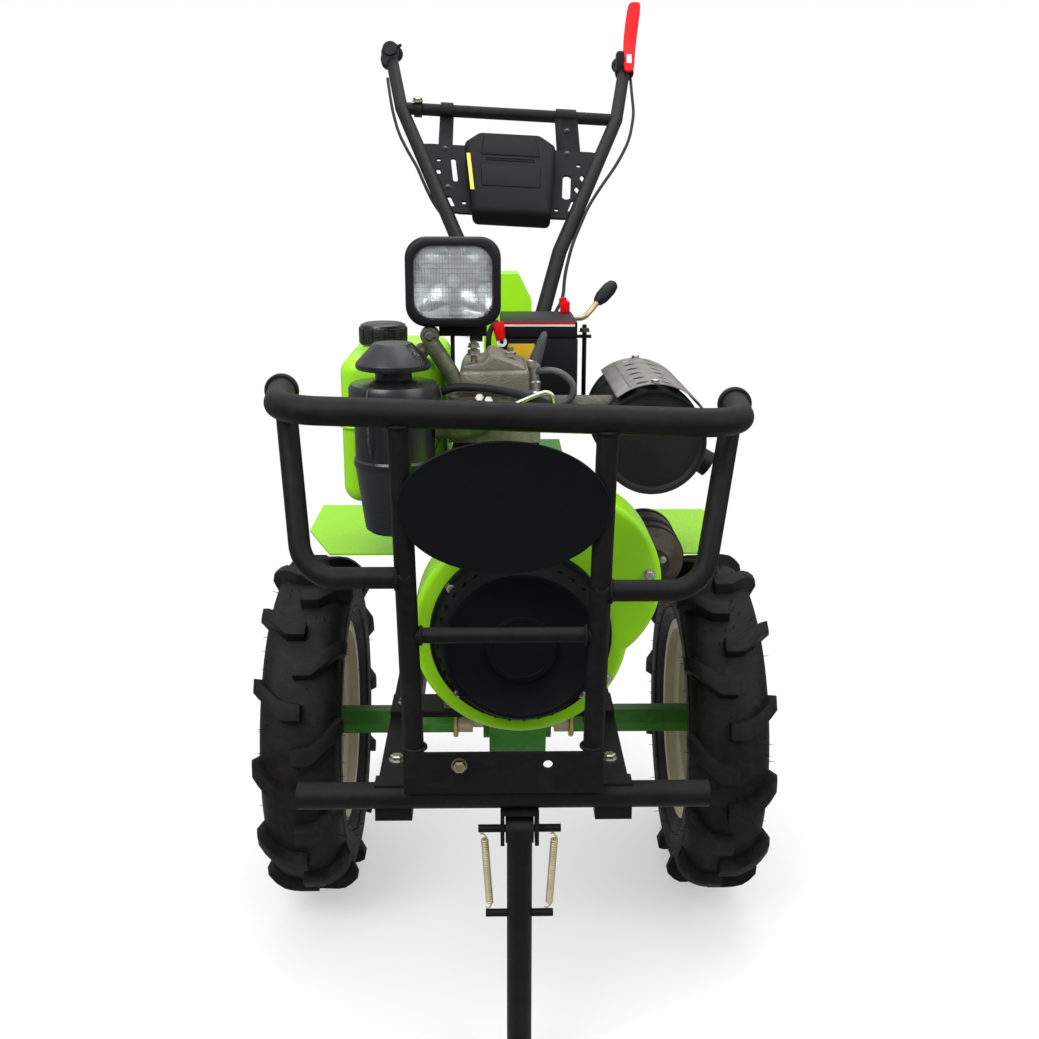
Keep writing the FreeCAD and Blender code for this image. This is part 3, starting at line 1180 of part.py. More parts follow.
def panel(crossbar):
    """The control panel on its bracket, in the plane of the arms; the straps end on the crossbar."""
    at = ("handle_x", BAR_Y, BAR_Z)
    skew = "(bar_drop / bar_half / sin(arm_slope * 1 deg))"

    def hung(*corners):
        """Corners that hang lower to the right, as the crossbar does."""
        return [(across, f"({along}) - ({across}) * {skew}") for across, along in corners]

    edge_from, edge_to = arm_edge("bracket_from"), arm_edge("bracket_to")
    plates = [padded("bracket_web", "z", hung(
        (f"-1 * {edge_to}", "-bracket_to"),
        (edge_to, "-bracket_to"),
        (edge_from, "-bracket_from"),
        (f"-1 * {edge_from}", "-bracket_from"),
    ), "bracket_plate", ("0", "0", "0"))]
    for _, word in SIDES:
        low, high = (f"strap_{word} - strap_{word}_half", f"strap_{word} + strap_{word}_half")
        foot = "-bracket_from - strap_right_half"
        plates.append(padded("strap_" + word, "z", hung((low, foot), (high, foot), (high, "0"), (low, "0")),
                             "bracket_plate", ("0", "0", "0")))
    bracket = fused("bracket_plates", plates)
    cover = padded("control_panel", "z", hung(
        ("-panel_low_half", "-panel_top - panel_rise"),
        ("panel_low_half", "-panel_top - panel_rise"),
        ("panel_half", "-panel_top - panel_shoulder"),
        ("panel_high_half", "-panel_top"),
        ("-panel_high_half", "-panel_top"),
        ("-panel_half", "-panel_top - panel_shoulder"),
    ), "panel_depth", ("0", "0", "0"))
    for thing, lift in ((bracket, "-1 * bracket_plate / 2"), (cover, "bracket_plate / 2")):
        thing.Placement = Placement(Vector(), Rotation(Vector(1, 0, 0), size.arm_slope))
        thing.setExpression(".Placement.Rotation.Angle", formula("arm_slope"))
        bind(thing, x=at[0], y=f"{at[1]} - ({lift}) * sin(arm_slope * 1 deg)",
             z=f"{at[2]} + ({lift}) * cos(arm_slope * 1 deg)")
    piece(less("panel_bracket", bracket, made("bracket_bite", crossbar)), "panel_bracket")
    piece(cover, "control_panel")


def gear_lever():
    """The bent rod out of the shift column, with its knob."""
    start = Vector(size.column_x + size.column_half_x, size.gear_lever_y, size.gear_lever_z)
    elbow = Vector(size.gear_elbow_x, start.y, start.z)
    tip = elbow + Vector(size.gear_tip_out, size.gear_tip_back, size.gear_tip_rise)
    points = [start, elbow, tip]
    rod_shape = tube(points, size.gear_rod, [size.gear_bend])
    ahead = (points[-1] - points[-2]).normalize()
    knob = round_bar(points[-1] - ahead * size.knob_overlap, points[-1] + ahead * size.knob_length, size.knob_radius)
    piece(made("gear_lever", largest(rod_shape.fuse(knob).removeSplitter())), "gear_lever")


# ------------------------------------------------------------------ the whole machine
for side, word in SIDES:
    tyre(side, word)
    rim(side, word)
    hub(side, word)
    half_shaft(side, word)
    fender(side, word)
for build in (gearbox, shift_column, drawbar, engine_bed, engine_block, cylinder, valve_cover, injector, fan_shroud,
              recoil_cover, starter_motor, fuel_tank, air_cleaner, intake_pipe, muffler, heat_shield, battery, lamp,
              bumper, oval_plate, front_support, stand_bracket, stand_leg, gear_lever):
    build()
panel(handlebar())
doc.recompute()

for thing in doc.Objects:
    if {"Invalid", "Error"} & set(thing.State):
        raise RuntimeError(f"{thing.Name} did not build: {thing.State}")
os.makedirs("parts", exist_ok=True)
for thing in PIECES:
    shape = thing.Shape
    if shape.isNull() or not shape.isValid() or not shape.Solids:
        raise RuntimeError(f"{thing.Label} has no valid solid")
    shape.exportStep(f"parts/{thing.Label}.step")
whole = Part.makeCompound([thing.Shape for thing in PIECES]).BoundBox
print(len(PIECES), "pieces", whole)
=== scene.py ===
"""The looks of a walk-behind garden cultivator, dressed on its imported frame.

+Z is up, the nose faces -Y and +X is to the right as seen from the nose. Sizes and triples are in
millimetres, from the axle on the floor, and vectors are in metres in the model's frame. Each class
dresses one sub-assembly, and its fields are that sub-assembly's sizes.
"""
from __future__ import annotations

import logging
import math
from dataclasses import dataclass
from enum import Enum
from functools import cache
from typing import Iterable, Optional, Sequence, Union

import bmesh
import bpy
from mathutils import Matrix, Quaternion, Vector

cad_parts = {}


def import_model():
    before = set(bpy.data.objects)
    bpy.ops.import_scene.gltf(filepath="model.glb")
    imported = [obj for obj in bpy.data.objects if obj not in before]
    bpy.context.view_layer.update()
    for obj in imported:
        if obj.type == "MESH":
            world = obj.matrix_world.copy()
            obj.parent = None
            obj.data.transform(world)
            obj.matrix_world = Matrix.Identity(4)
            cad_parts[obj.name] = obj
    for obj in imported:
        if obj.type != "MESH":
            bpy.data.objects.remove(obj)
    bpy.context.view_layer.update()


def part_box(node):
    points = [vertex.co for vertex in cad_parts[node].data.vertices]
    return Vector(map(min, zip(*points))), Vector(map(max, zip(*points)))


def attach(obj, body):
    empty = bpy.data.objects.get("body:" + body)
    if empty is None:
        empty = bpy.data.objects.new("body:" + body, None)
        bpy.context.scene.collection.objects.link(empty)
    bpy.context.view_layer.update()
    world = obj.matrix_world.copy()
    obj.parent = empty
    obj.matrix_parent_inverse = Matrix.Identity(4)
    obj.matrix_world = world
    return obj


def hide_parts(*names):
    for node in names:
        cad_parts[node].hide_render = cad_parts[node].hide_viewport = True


LOG = logging.getLogger("cultivator")
AXLE_Y = -0.24256
MACHINE, STAND, HANDLEBAR = "machine", "stand", "handlebar"
UP, FORWARD, BACK, RIGHT = (0, 0, 1), (0, -1, 0), (0, 1, 0), (1, 0, 0)
Point = tuple[float, float]
Colour = tuple[float, float, float]
Place = Union[Vector, Sequence[float]]
Shape = Union[bmesh.types.BMesh, bpy.types.Mesh]
Socket = bpy.types.NodeSocket
Given = Union[Socket, float]


def at(x: float, y: float, z: float) -> Vector:
    """A place given in millimetres from the axle, on the floor, as metres in the model's frame.

    Args:
        x: Across, from the middle of the track.
        y: Along, from the axle.
        z: Up, from the floor.

    Returns:
        The place in the model's frame.
    """
    return Vector((x / 1000, y / 1000 + AXLE_Y, z / 1000))


def spot(place: Place) -> Vector:
    """A place as a vector: a vector is kept, and three numbers go through at()."""
    return place if isinstance(place, Vector) else at(*place)


class Side(Enum):
    """The two sides of the machine, with the sign of X."""

    LEFT = -1
    RIGHT = 1

    @property
    def word(self) -> str:
        """The side's word, as it stands in the nodes' names."""
        return self.name.lower()


# ---------------------------------------------------------------- nodes and finishes
class Tree:
    """A node tree, and short calls for its nodes."""

    def __init__(self, tree: bpy.types.NodeTree) -> None:
        """Keeps the tree."""
        self.tree = tree

    def feed(self, node: bpy.types.Node, inputs: dict) -> None:
        """Feeds a node.

        Args:
            node: The node.
            inputs: Its inputs by name or number. Sockets are linked, and values are set.
        """
        for key, given in inputs.items():
            socket = node.inputs[key]
            for value in given if isinstance(given, list) else [given]:
                if isinstance(value, Socket):
                    self.tree.links.new(value, socket)
                else:
                    socket.default_value = (*value, 1.0) if socket.type == "RGBA" else value

    def add(self, kind: str, inputs: dict, out: Union[int, str] = 0, **options: object) -> Socket:
        """Adds a node.

        Args:
            kind: The node's type.
            inputs: Its inputs, as feed() takes them.
            out: The output that is wanted.
            options: Properties of the node.

        Returns:
            The output.
        """
        node = self.tree.nodes.new(kind)
        for key, value in options.items():
            setattr(node, key, value)
        self.feed(node, inputs)
        return node.outputs[out]

    def arithmetic(self, operation: str, first: Given, second: Given) -> Socket:
        """Arithmetic on two numbers."""
        return self.add("ShaderNodeMath", {0: first, 1: second}, operation=operation)

    def spread(self, value: Socket, start: float, end: float, low: Given, high: float) -> Socket:
        """A value's range from start to end, stretched to low and high and clamped there."""
        return self.add("ShaderNodeMapRange", {0: value, 1: start, 2: end, 3: low, 4: high})


class Shader(Tree):
    """A material, and short calls for the nodes that give it its surface."""

    def __init__(self, name: str) -> None:
        """Makes an empty material.

        Args:
            name: The material's name.
        """
        self.material = bpy.data.materials.new(name)
        self.material.use_nodes = True
        super().__init__(self.material.node_tree)
        self.surface = self.tree.nodes["Principled BSDF"]
        self.place = self.add("ShaderNodeTexCoord", {}, "Object")

    def noise(self, scale: float, detail: float, distortion: float = 0.0) -> Socket:
        """Noise about 0.5, by features per metre, octaves and how far the pattern is warped."""
        return self.add("ShaderNodeTexNoise", {"Vector": self.place, "Scale": scale, "Detail": detail,
                                               "Distortion": distortion}, "Fac")

    def mixed(self, share: Socket, first: Union[Socket, Colour], second: Union[Socket, Colour]) -> Socket:
        """Two colours mixed by a share, which is 0 for the first and 1 for the second."""
        return self.add("ShaderNodeMix", {0: share, 6: first, 7: second}, 2, data_type="RGBA")

    def edges(self, radius: float, strength: float) -> Socket:
        """Where the surface has an outer edge, for worn paint there on some finishes and a painted edge
        highlight on others.

        Args:
            radius: Width of the edge in metres.
            strength: The share at the edge.

        Returns:
            A share from 0 to strength.
        """
        soft = self.add("ShaderNodeBevel", {"Radius": radius}, samples=4)
        flat = self.add("ShaderNodeNewGeometry", {}, "Normal")
        dot = self.add("ShaderNodeVectorMath", {0: soft, 1: flat}, "Value", operation="DOT_PRODUCT")
        return self.spread(dot, 0.985, 0.80, 0.0, strength)


@dataclass(frozen=True)
class Finish:
    """A finish by its colours, gloss and relief, and the record's material slot that it mostly has."""

    name: str
    colour: Colour
    second: Colour
    patches: float = 9.0
    rough: Point = (0.35, 0.5)
    metallic: float = 0.0
    grain: float = 700.0
    relief: float = 0.08
    coat: float = 0.0
    specular: float = 0.5
    dust: float = 0.0
    dust_colour: Colour = (0.42, 0.38, 0.31)
    # Edge share and edge colour: worn paint on some finishes, a painted edge highlight on others.
    rub: float = 0.0
    edge_wear_and_highlight_colour: Colour = (0.35, 0.35, 0.34)
    slot: str = "zinc"

    @cache
    def material(self) -> bpy.types.Material:
        """Builds the material once.

        Returns:
            The material, whose patches, dust, rubbed edges and grain follow the fields.
        """
        shader = Shader(self.name)
        wide = shader.noise(self.patches, 5.0, 0.4)
        fine = shader.noise(self.grain, 2.0)
        colour = shader.mixed(shader.spread(wide, 0.35, 0.68, 0.0, 1.0), self.colour, self.second)
        if self.dust:
            film = shader.noise(self.patches * 3, 9.0, 1.2)
            colour = shader.mixed(shader.spread(film, 0.46, 0.78, 0.0, self.dust), colour, self.dust_colour)
        # Outer edges take the edge colour: a painted edge highlight on the lime greens and the blacks, worn
        # paint on the cream and the deep green.
        if self.rub:
            colour = shader.mixed(shader.edges(0.0015, self.rub), colour, self.edge_wear_and_highlight_colour)
        self.finish_surface(shader, colour, wide, fine)
        return shader.material

    def finish_surface(self, shader: Shader, colour: Socket, wide: Socket, fine: Socket) -> None:
        """Feeds the shader.

        Args:
            shader: The material that is built.
            colour: Its colour.
            wide: The wide noise.
            fine: The fine noise.
        """
        gloss = shader.spread(shader.arithmetic("ADD", wide, fine), 0.75, 1.25, *self.rough)
        bump = shader.add("ShaderNodeBump", {"Strength": self.relief, "Distance": 0.002, "Height": fine})
        shader.feed(shader.surface, {
            "Metallic": self.metallic, "Coat Weight": self.coat, "Specular IOR Level": self.specular,
            "Coat Roughness": 0.12, "Base Color": colour, "Roughness": gloss, "Normal": bump})


@dataclass(frozen=True)
class Lens(Finish):
    """Pressed glass, whose flutes and bars gather a little shade."""

    cell: Point = (0.0039, 0.0061)

    def finish_surface(self, shader: Shader, colour: Socket, wide: Socket, fine: Socket) -> None:
        """Feeds the shader as clear glass over the usual relief.

        Args:
            shader: The material that is built.
            colour: Its colour.
            wide: The wide noise.
            fine: The fine noise.
        """
        parts = shader.add("ShaderNodeSeparateXYZ", {0: shader.place}).node.outputs
        sheet = shader.add("ShaderNodeCombineXYZ", {0: parts[0], 1: parts[2]})
        net = shader.add("ShaderNodeTexBrick", {
            "Vector": sheet, "Scale": 100.0, "Mortar Size": 0.05, "Mortar Smooth": 0.7,
            "Brick Width": self.cell[0] * 100, "Row Height": self.cell[1] * 100}, "Fac", offset=0.0)
        shade = shader.mixed(net, (1.0, 1.0, 1.0), (0.66, 0.69, 0.71))
        colour = shader.add("ShaderNodeMix", {0: 1.0, 6: colour, 7: shade}, 2, data_type="RGBA",
                            blend_type="MULTIPLY")
        super().finish_surface(shader, colour, wide, fine)
        shader.feed(shader.surface, {"Transmission Weight": 0.92, "IOR": 1.45})


# The lighter edge colours of the lime greens are painted edge highlights.
GREEN = Finish("lime_enamel", (0.34, 0.78, 0.018), (0.30, 0.72, 0.014), 5.0, (0.24, 0.34), coat=0.05,
               specular=0.22, dust=0.04, rub=0.25, edge_wear_and_highlight_colour=(0.45, 0.82, 0.16), grain=420.0, relief=0.05,
               slot="green_paint")
# The fenders' enamel is a darker copy of the lime enamel: painted shade.
SHADED_FENDER_GREEN = Finish("fender_enamel_painted_shade", (0.290, 0.660, 0.010), (0.255, 0.605, 0.008), 5.0, (0.24, 0.34),
                      coat=0.03, specular=0.15, dust=0.04, rub=0.2, edge_wear_and_highlight_colour=(0.40, 0.75, 0.12),
                      grain=420.0, relief=0.05)
DEEP_GREEN = Finish("deep_green_enamel", (0.040, 0.24, 0.012), (0.030, 0.17, 0.010), 14.0, (0.34, 0.5),
                    dust=0.10, rub=0.3, specular=0.3)
# The lighter edge colour of the black powder coat is a painted edge highlight.
POWDER = Finish("black_powder_coat", (0.005, 0.005, 0.0055), (0.008, 0.0078, 0.008), 12.0, (0.38, 0.52),
                specular=0.13, grain=1500.0, relief=0.25, dust=0.04, dust_colour=(0.12, 0.115, 0.10),
                rub=0.12, edge_wear_and_highlight_colour=(0.04, 0.04, 0.04), slot="black_paint")
CREAM = Finish("cream_enamel", (0.68, 0.60, 0.44), (0.62, 0.53, 0.38), 10.0, (0.3, 0.42), dust=0.22, rub=0.2,
               edge_wear_and_highlight_colour=(0.42, 0.36, 0.28))
TYRE = Finish("tyre_rubber", (0.005, 0.0052, 0.0058), (0.009, 0.0088, 0.0085), 16.0, (0.5, 0.7),
              specular=0.16, grain=500.0, relief=0.25, dust=0.2, dust_colour=(0.05, 0.042, 0.035),
              slot="tyre_rubber")
# The lighter edge colour of the black plastic is a painted edge highlight.
PLASTIC = Finish("black_plastic", (0.007, 0.008, 0.0095), (0.010, 0.011, 0.0125), 8.0, (0.36, 0.5),
                 specular=0.16, grain=1100.0, relief=0.10, rub=0.10, edge_wear_and_highlight_colour=(0.05, 0.05, 0.05),
                 slot="black_plastic")
MATT_BLACK = Finish("matt_black_plastic", (0.006, 0.0065, 0.008), (0.009, 0.0095, 0.011), 8.0, (0.42, 0.55),
                    specular=0.05, grain=1100.0, relief=0.08, slot="black_plastic")
SATIN_BLACK = Finish("satin_black_plastic", (0.009, 0.010, 0.012), (0.013, 0.014, 0.016), 6.0, (0.24, 0.32),
                     relief=0.03, grain=600.0, slot="black_plastic")
GLOSS_BLACK = Finish("gloss_black", (0.003, 0.0035, 0.004), (0.005, 0.0052, 0.006), 5.0, (0.26, 0.34),
                     specular=0.12, relief=0.02, slot="black_plastic")
RUBBER = Finish("moulded_rubber", (0.008, 0.008, 0.009), (0.013, 0.0125, 0.0125), 20.0, (0.5, 0.68),
                specular=0.22, grain=900.0, relief=0.2, slot="grip_rubber")
RED = Finish("red_plastic", (0.68, 0.006, 0.012), (0.60, 0.005, 0.010), 10.0, (0.4, 0.52), specular=0.06,
             grain=600.0, relief=0.04, slot="red_plastic")
CAST = Finish("sand_casting", (0.20, 0.19, 0.15), (0.14, 0.133, 0.105), 26.0, (0.40, 0.64), 0.55, 480.0, 0.5,
              dust=0.2, slot="cast_metal")
OLIVE_CAST = Finish("olive_casting", (0.10, 0.11, 0.065), (0.065, 0.072, 0.045), 30.0, (0.42, 0.62), 0.4,
                    420.0, 0.5, dust=0.15, slot="cast_metal")
UMBER_CAST = Finish("umber_casting", (0.036, 0.029, 0.014), (0.026, 0.021, 0.011), 24.0, (0.4, 0.6), 0.4,
                    420.0, 0.4, dust=0.08)
IRON = Finish("dark_casting", (0.09, 0.082, 0.075), (0.055, 0.05, 0.047), 24.0, (0.45, 0.65), 0.6, 420.0,
              0.45, dust=0.2)
ZINC = Finish("zinc_plate", (0.62, 0.62, 0.59), (0.50, 0.49, 0.45), 40.0, (0.24, 0.4), 1.0, 900.0, 0.05)
YELLOW_ZINC = Finish("yellow_zinc", (0.42, 0.36, 0.22), (0.32, 0.27, 0.17), 36.0, (0.28, 0.42), 0.9, 800.0,
                     0.08)
TAN_ZINC = Finish("tan_spring_wire", (0.60, 0.52, 0.35), (0.48, 0.41, 0.27), 60.0, (0.32, 0.46), 0.5, 800.0,
                  0.05)
BRASS = Finish("bare_brass", (0.62, 0.44, 0.16), (0.48, 0.34, 0.13), 40.0, (0.28, 0.42), 0.9, 800.0, 0.08)
SHIELD = Finish("heat_dulled_steel", (0.215, 0.21, 0.195), (0.155, 0.15, 0.14), 22.0, (0.42, 0.58), 0.35,
                700.0, 0.12, slot="shield_steel")
# The lighter edge colour of the stove black is a painted edge highlight.
HOT_BLACK = Finish("stove_black", (0.006, 0.0065, 0.0075), (0.010, 0.010, 0.0105), 14.0, (0.46, 0.62),
                   specular=0.22, grain=600.0, relief=0.25, rub=0.12, edge_wear_and_highlight_colour=(0.05, 0.05, 0.05),
                   slot="black_paint")
GREY_RUBBER = Finish("grey_hose", (0.075, 0.08, 0.085), (0.05, 0.053, 0.057), 18.0, (0.42, 0.58), relief=0.1,
                     slot="grip_rubber")
YELLOW = Finish("plain_yellow_film", (0.80, 0.52, 0.015), (0.74, 0.46, 0.012), 8.0, (0.35, 0.45),
                relief=0.02, slot="red_plastic")
WHITE = Finish("white_plastic", (0.76, 0.76, 0.74), (0.68, 0.68, 0.65), 10.0, (0.32, 0.44), relief=0.05)
MIRROR = Finish("reflector", (0.86, 0.87, 0.88), (0.80, 0.81, 0.82), 6.0, (0.14, 0.24), 1.0, relief=0.02)
GLASS = Lens("pressed_glass", (0.96, 0.98, 0.98), (0.92, 0.95, 0.95), 6.0, (0.05, 0.10), relief=0.02,
             slot="lamp_glass")


# ---------------------------------------------------------------- meshes
def baked(shape: Shape, outward: bool = True) -> bpy.types.Mesh:
    """A working shape as a mesh; a mesh is handed back as it is.

    Args:
        shape: The shape.
        outward: Whether its normals are turned outward first.

    Returns:
        The mesh.
    """
    if isinstance(shape, bpy.types.Mesh):
        return shape
    if outward:
        bmesh.ops.recalc_face_normals(shape, faces=shape.faces)
    mesh = bpy.data.meshes.new("part")
    shape.to_mesh(mesh)
    shape.free()
    return mesh


def shown(name: str, data: bpy.types.ID) -> bpy.types.Object:
    """A new object in the scene.

    Args:
        name: Its name.
        data: Its mesh, light or camera.

    Returns:
        The object.
    """
    thing = bpy.data.objects.new(name, data)
    bpy.context.scene.collection.objects.link(thing)
    return thing


def evaluated(thing: bpy.types.Object) -> bpy.types.Mesh:
    """Takes the mesh that an object's modifiers leave, and removes the object.

    Args:
        thing: The object.

    Returns:
        The mesh.
    """
    mesh = bpy.data.meshes.new_from_object(thing.evaluated_get(bpy.context.evaluated_depsgraph_get()))
    bpy.data.objects.remove(thing)
    return mesh


def made_piece(name: str, shape: Shape, finish: Finish, body: str = MACHINE,
               replaces: str = "", angle: float = 35.0) -> bpy.types.Object:
    """Turns a shape into a piece that rides on a body.

    Args:
        name: The piece's name.
        shape: Its mesh, with its place in it.
        finish: Its finish.
        body: The body that it rides on.
        replaces: The node that it stands for, if it does.
        angle: Edges sharper than this, in degrees, stay sharp.

    Returns:
        The piece.
    """
    mesh = baked(shape)
    mesh.name = name
    mesh.shade_smooth()
    mesh.set_sharp_from_angle(angle=math.radians(angle))
    mesh.materials.clear()
    mesh.materials.append(finish.material())
    piece = shown(name, mesh)
    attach(piece, body)
    if replaces:
        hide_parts(replaces)
    LOG.info("%s: %d faces on %s", name, len(mesh.polygons), body)
    return piece


def paint_nodes(finish: Finish, *nodes: str) -> None:
    """Gives CAD nodes a finish.

    Args:
        finish: The finish.
        nodes: The nodes' names.
    """
    for name in nodes:
        mesh = bpy.data.objects[name].data
        mesh.materials.clear()
        mesh.materials.append(finish.material())
        LOG.info("%s: %s", name, finish.name)


def thicken(piece: bpy.types.Object, wall: float, offset: float) -> None:
    """Gives a piece that is a sheet its thickness.

    Args:
        piece: The piece.
        wall: The thickness.
        offset: -1 for a wall behind the sheet, 0 for half of it on each side.
    """
    modifier = piece.modifiers.new("wall", "SOLIDIFY")
    modifier.thickness, modifier.offset = wall / 1000, offset


def placed(place: Place, *turns: tuple[float, str]) -> Matrix:
    """A place with turns about its own axes.

    Args:
        place: The place.
        turns: Angles in degrees with their axes, one after the other.

    Returns:
        The matrix.
    """
    matrix = Matrix.Translation(spot(place))
    for angle, axis in turns:
        matrix = matrix @ Matrix.Rotation(math.radians(angle), 4, axis)
    return matrix


def skin(shape: bmesh.types.BMesh, rings: Sequence[Sequence[bmesh.types.BMVert]],
         closed: bool = True) -> None:
    """Joins each ring of points to the next; a ring may be one point.

    Args:
        shape: The mesh.
        rings: Its rings.
        closed: Whether each ring runs back to its first point.
    """
    for low, high in zip(rings, rings[1:]):
        count = max(len(low), len(high))
        for k in range(count if closed else count - 1):
            corners = (low[k % len(low)], low[(k + 1) % len(low)], high[(k + 1) % len(high)],
                       high[k % len(high)])
            unique = list(dict.fromkeys(corners))
            if len(unique) > 2:
                shape.faces.new(unique)


def lathe(profile: Sequence[Point], place: Place, axis: Place, steps: int = 96,
          into: Optional[bmesh.types.BMesh] = None) -> bmesh.types.BMesh:
    """A body of revolution.

    Args:
        profile: Radii and places along the axis, from one end to the other.
        place: Where the axis starts.
        axis: Its direction.
        steps: Sides of each ring.
        into: A mesh to add it to.

    Returns:
        The mesh.
    """
    shape = into or bmesh.new()
    turn = placed(place) @ Vector(axis).to_track_quat("Z", "Y").to_matrix().to_4x4()
    rings = []
    for radius, height in profile:
        r, h = radius / 1000, height / 1000
        angles = [math.tau * k / steps for k in range(steps)] if radius else [0.0]
        rings.append([shape.verts.new(turn @ Vector((r * math.cos(a), r * math.sin(a), h))) for a in angles])
    skin(shape, rings)
    for ring in (rings[0], rings[-1]):
        if len(ring) > 1 and profile[0] != profile[-1]:
            shape.faces.new(ring)
    return shape


def collar(inner: float, outer: float, half: float, slope: float, place: Place, axis: Place, steps: int,
           into: Optional[bmesh.types.BMesh] = None) -> bmesh.types.BMesh:
    """A band about an axis.

    Args:
        inner: Its bore's radius.
        outer: Its outer radius.
        half: Half its width.
        slope: How much narrower it is outside, at each end.
        place: Its middle.
        axis: Its direction.
        steps: Its sides.
        into: A mesh to add it to.

    Returns:
        The mesh.
    """
    profile = [(inner, -half), (outer, slope - half), (outer, half - slope), (inner, half), (inner, -half)]
    return lathe(profile, place, axis, steps, into)


def soften(shape: bmesh.types.BMesh, angle: float, width: float, segments: int = 3,
           profile: float = 0.5) -> None:
    """Rounds a mesh's edges.

    Args:
        shape: The mesh.
        angle: Edges sharper than this, in degrees, are rounded.
        width: How wide the rounding is.
        segments: Its strips.
        profile: Its fullness.
    """
    bmesh.ops.recalc_face_normals(shape, faces=shape.faces)
    sharp = [e for e in shape.edges if e.calc_face_angle(0) > math.radians(angle)]
    bmesh.ops.bevel(shape, geom=sharp, offset=width / 1000, segments=segments, profile=profile,
                    affect="EDGES")


def slab(outline: Sequence[Point], depth: float, turn: Matrix, bevel: float = 0.0,
         into: Optional[bmesh.types.BMesh] = None) -> bmesh.types.BMesh:
    """A plate of any outline with softened edges.

    Args:
        outline: Its corners in its own plane.
        depth: Its thickness, along its own +Z.
        turn: Its place.
        bevel: Width of the softened edges.
        into: A mesh to add it to.

    Returns:
        The mesh.
    """
    shape = bmesh.new()
    rings = [[shape.verts.new((x / 1000, y / 1000, z / 1000)) for x, y in outline] for z in (0, depth)]
    shape.faces.new(rings[0][::-1])
    shape.faces.new(rings[1])
    skin(shape, rings)
    if bevel:
        soften(shape, 25, bevel)
    shape.transform(turn)
    return merged(shape, into)


def merged(shape: bmesh.types.BMesh, into: Optional[bmesh.types.BMesh]) -> bmesh.types.BMesh:
    """Adds a mesh to another, or hands it back alone.

    Args:
        shape: The mesh.
        into: The other, if there is one.

    Returns:
        The mesh that has both.
    """
    if into is None:
        return shape
    mesh = baked(shape)
    into.from_mesh(mesh)
    bpy.data.meshes.remove(mesh)
    return into


def joined(*meshes: bpy.types.Mesh) -> bmesh.types.BMesh:
    """Several meshes as one.

    Args:
        meshes: The meshes.

    Returns:
        The one that holds them all.
    """
    shape = bmesh.new()
    for mesh in meshes:
        shape.from_mesh(mesh)
    return shape


def rectangle(width: float, height: float, round_by: float = 0.0, steps: int = 6) -> list[Point]:
    """A centred rectangle's corners, rounded if asked.

    Args:
        width: Across.
        height: Up.
        round_by: Radius of the corners.
        steps: Points in each corner.

    Returns:
        The outline, counter-clockwise.
    """
    if not round_by:
        return [(x * width / 2, y * height / 2) for x, y in ((-1, -1), (1, -1), (1, 1), (-1, 1))]
    outline = []
    for quarter, (sx, sy) in enumerate(((1, 1), (-1, 1), (-1, -1), (1, -1))):
        for k in range(steps + 1):
            angle = math.pi / 2 * (quarter + k / steps)
            outline.append((sx * (width / 2 - round_by) + round_by * math.cos(angle),
                            sy * (height / 2 - round_by) + round_by * math.sin(angle)))
    return outline


def box(low: Place, high: Place, bevel: float,
        into: Optional[bmesh.types.BMesh] = None) -> bmesh.types.BMesh:
    """A block with softened edges.

    Args:
        low: Its lowest corner.
        high: Its highest corner.
        bevel: Width of the softened edges.
        into: A mesh to add it to.

    Returns:
        The mesh.
    """
    low, high = spot(low), spot(high)
    size = (high - low) * 1000
    foot = Vector(((low.x + high.x) / 2, (low.y + high.y) / 2, low.z))
    return slab(rectangle(size.x, size.y), size.z, placed(foot), bevel, into)


def rope(points: Sequence[Place], radius: float) -> bpy.types.Mesh:
    """A round tube along a smooth line.

    Args:
        points: The line's control points.
        radius: The tube's radius.

    Returns:
        The mesh.
    """
    curve = bpy.data.curves.new("line", "CURVE")
    curve.dimensions = "3D"
    curve.bevel_depth = radius / 1000
    curve.bevel_resolution = 4
    curve.use_fill_caps = True
    spline = curve.splines.new("NURBS")
    spline.points.add(len(points) - 1)
    for knot, point in zip(spline.points, points):
        knot.co = (*spot(point), 1.0)
    spline.order_u, spline.use_endpoint_u, spline.resolution_u = 3, True, 12
    holder = bpy.data.objects.new("line", curve)
    mesh = bpy.data.meshes.new_from_object(holder)
    bpy.data.objects.remove(holder)
    bpy.data.curves.remove(curve)
    return mesh


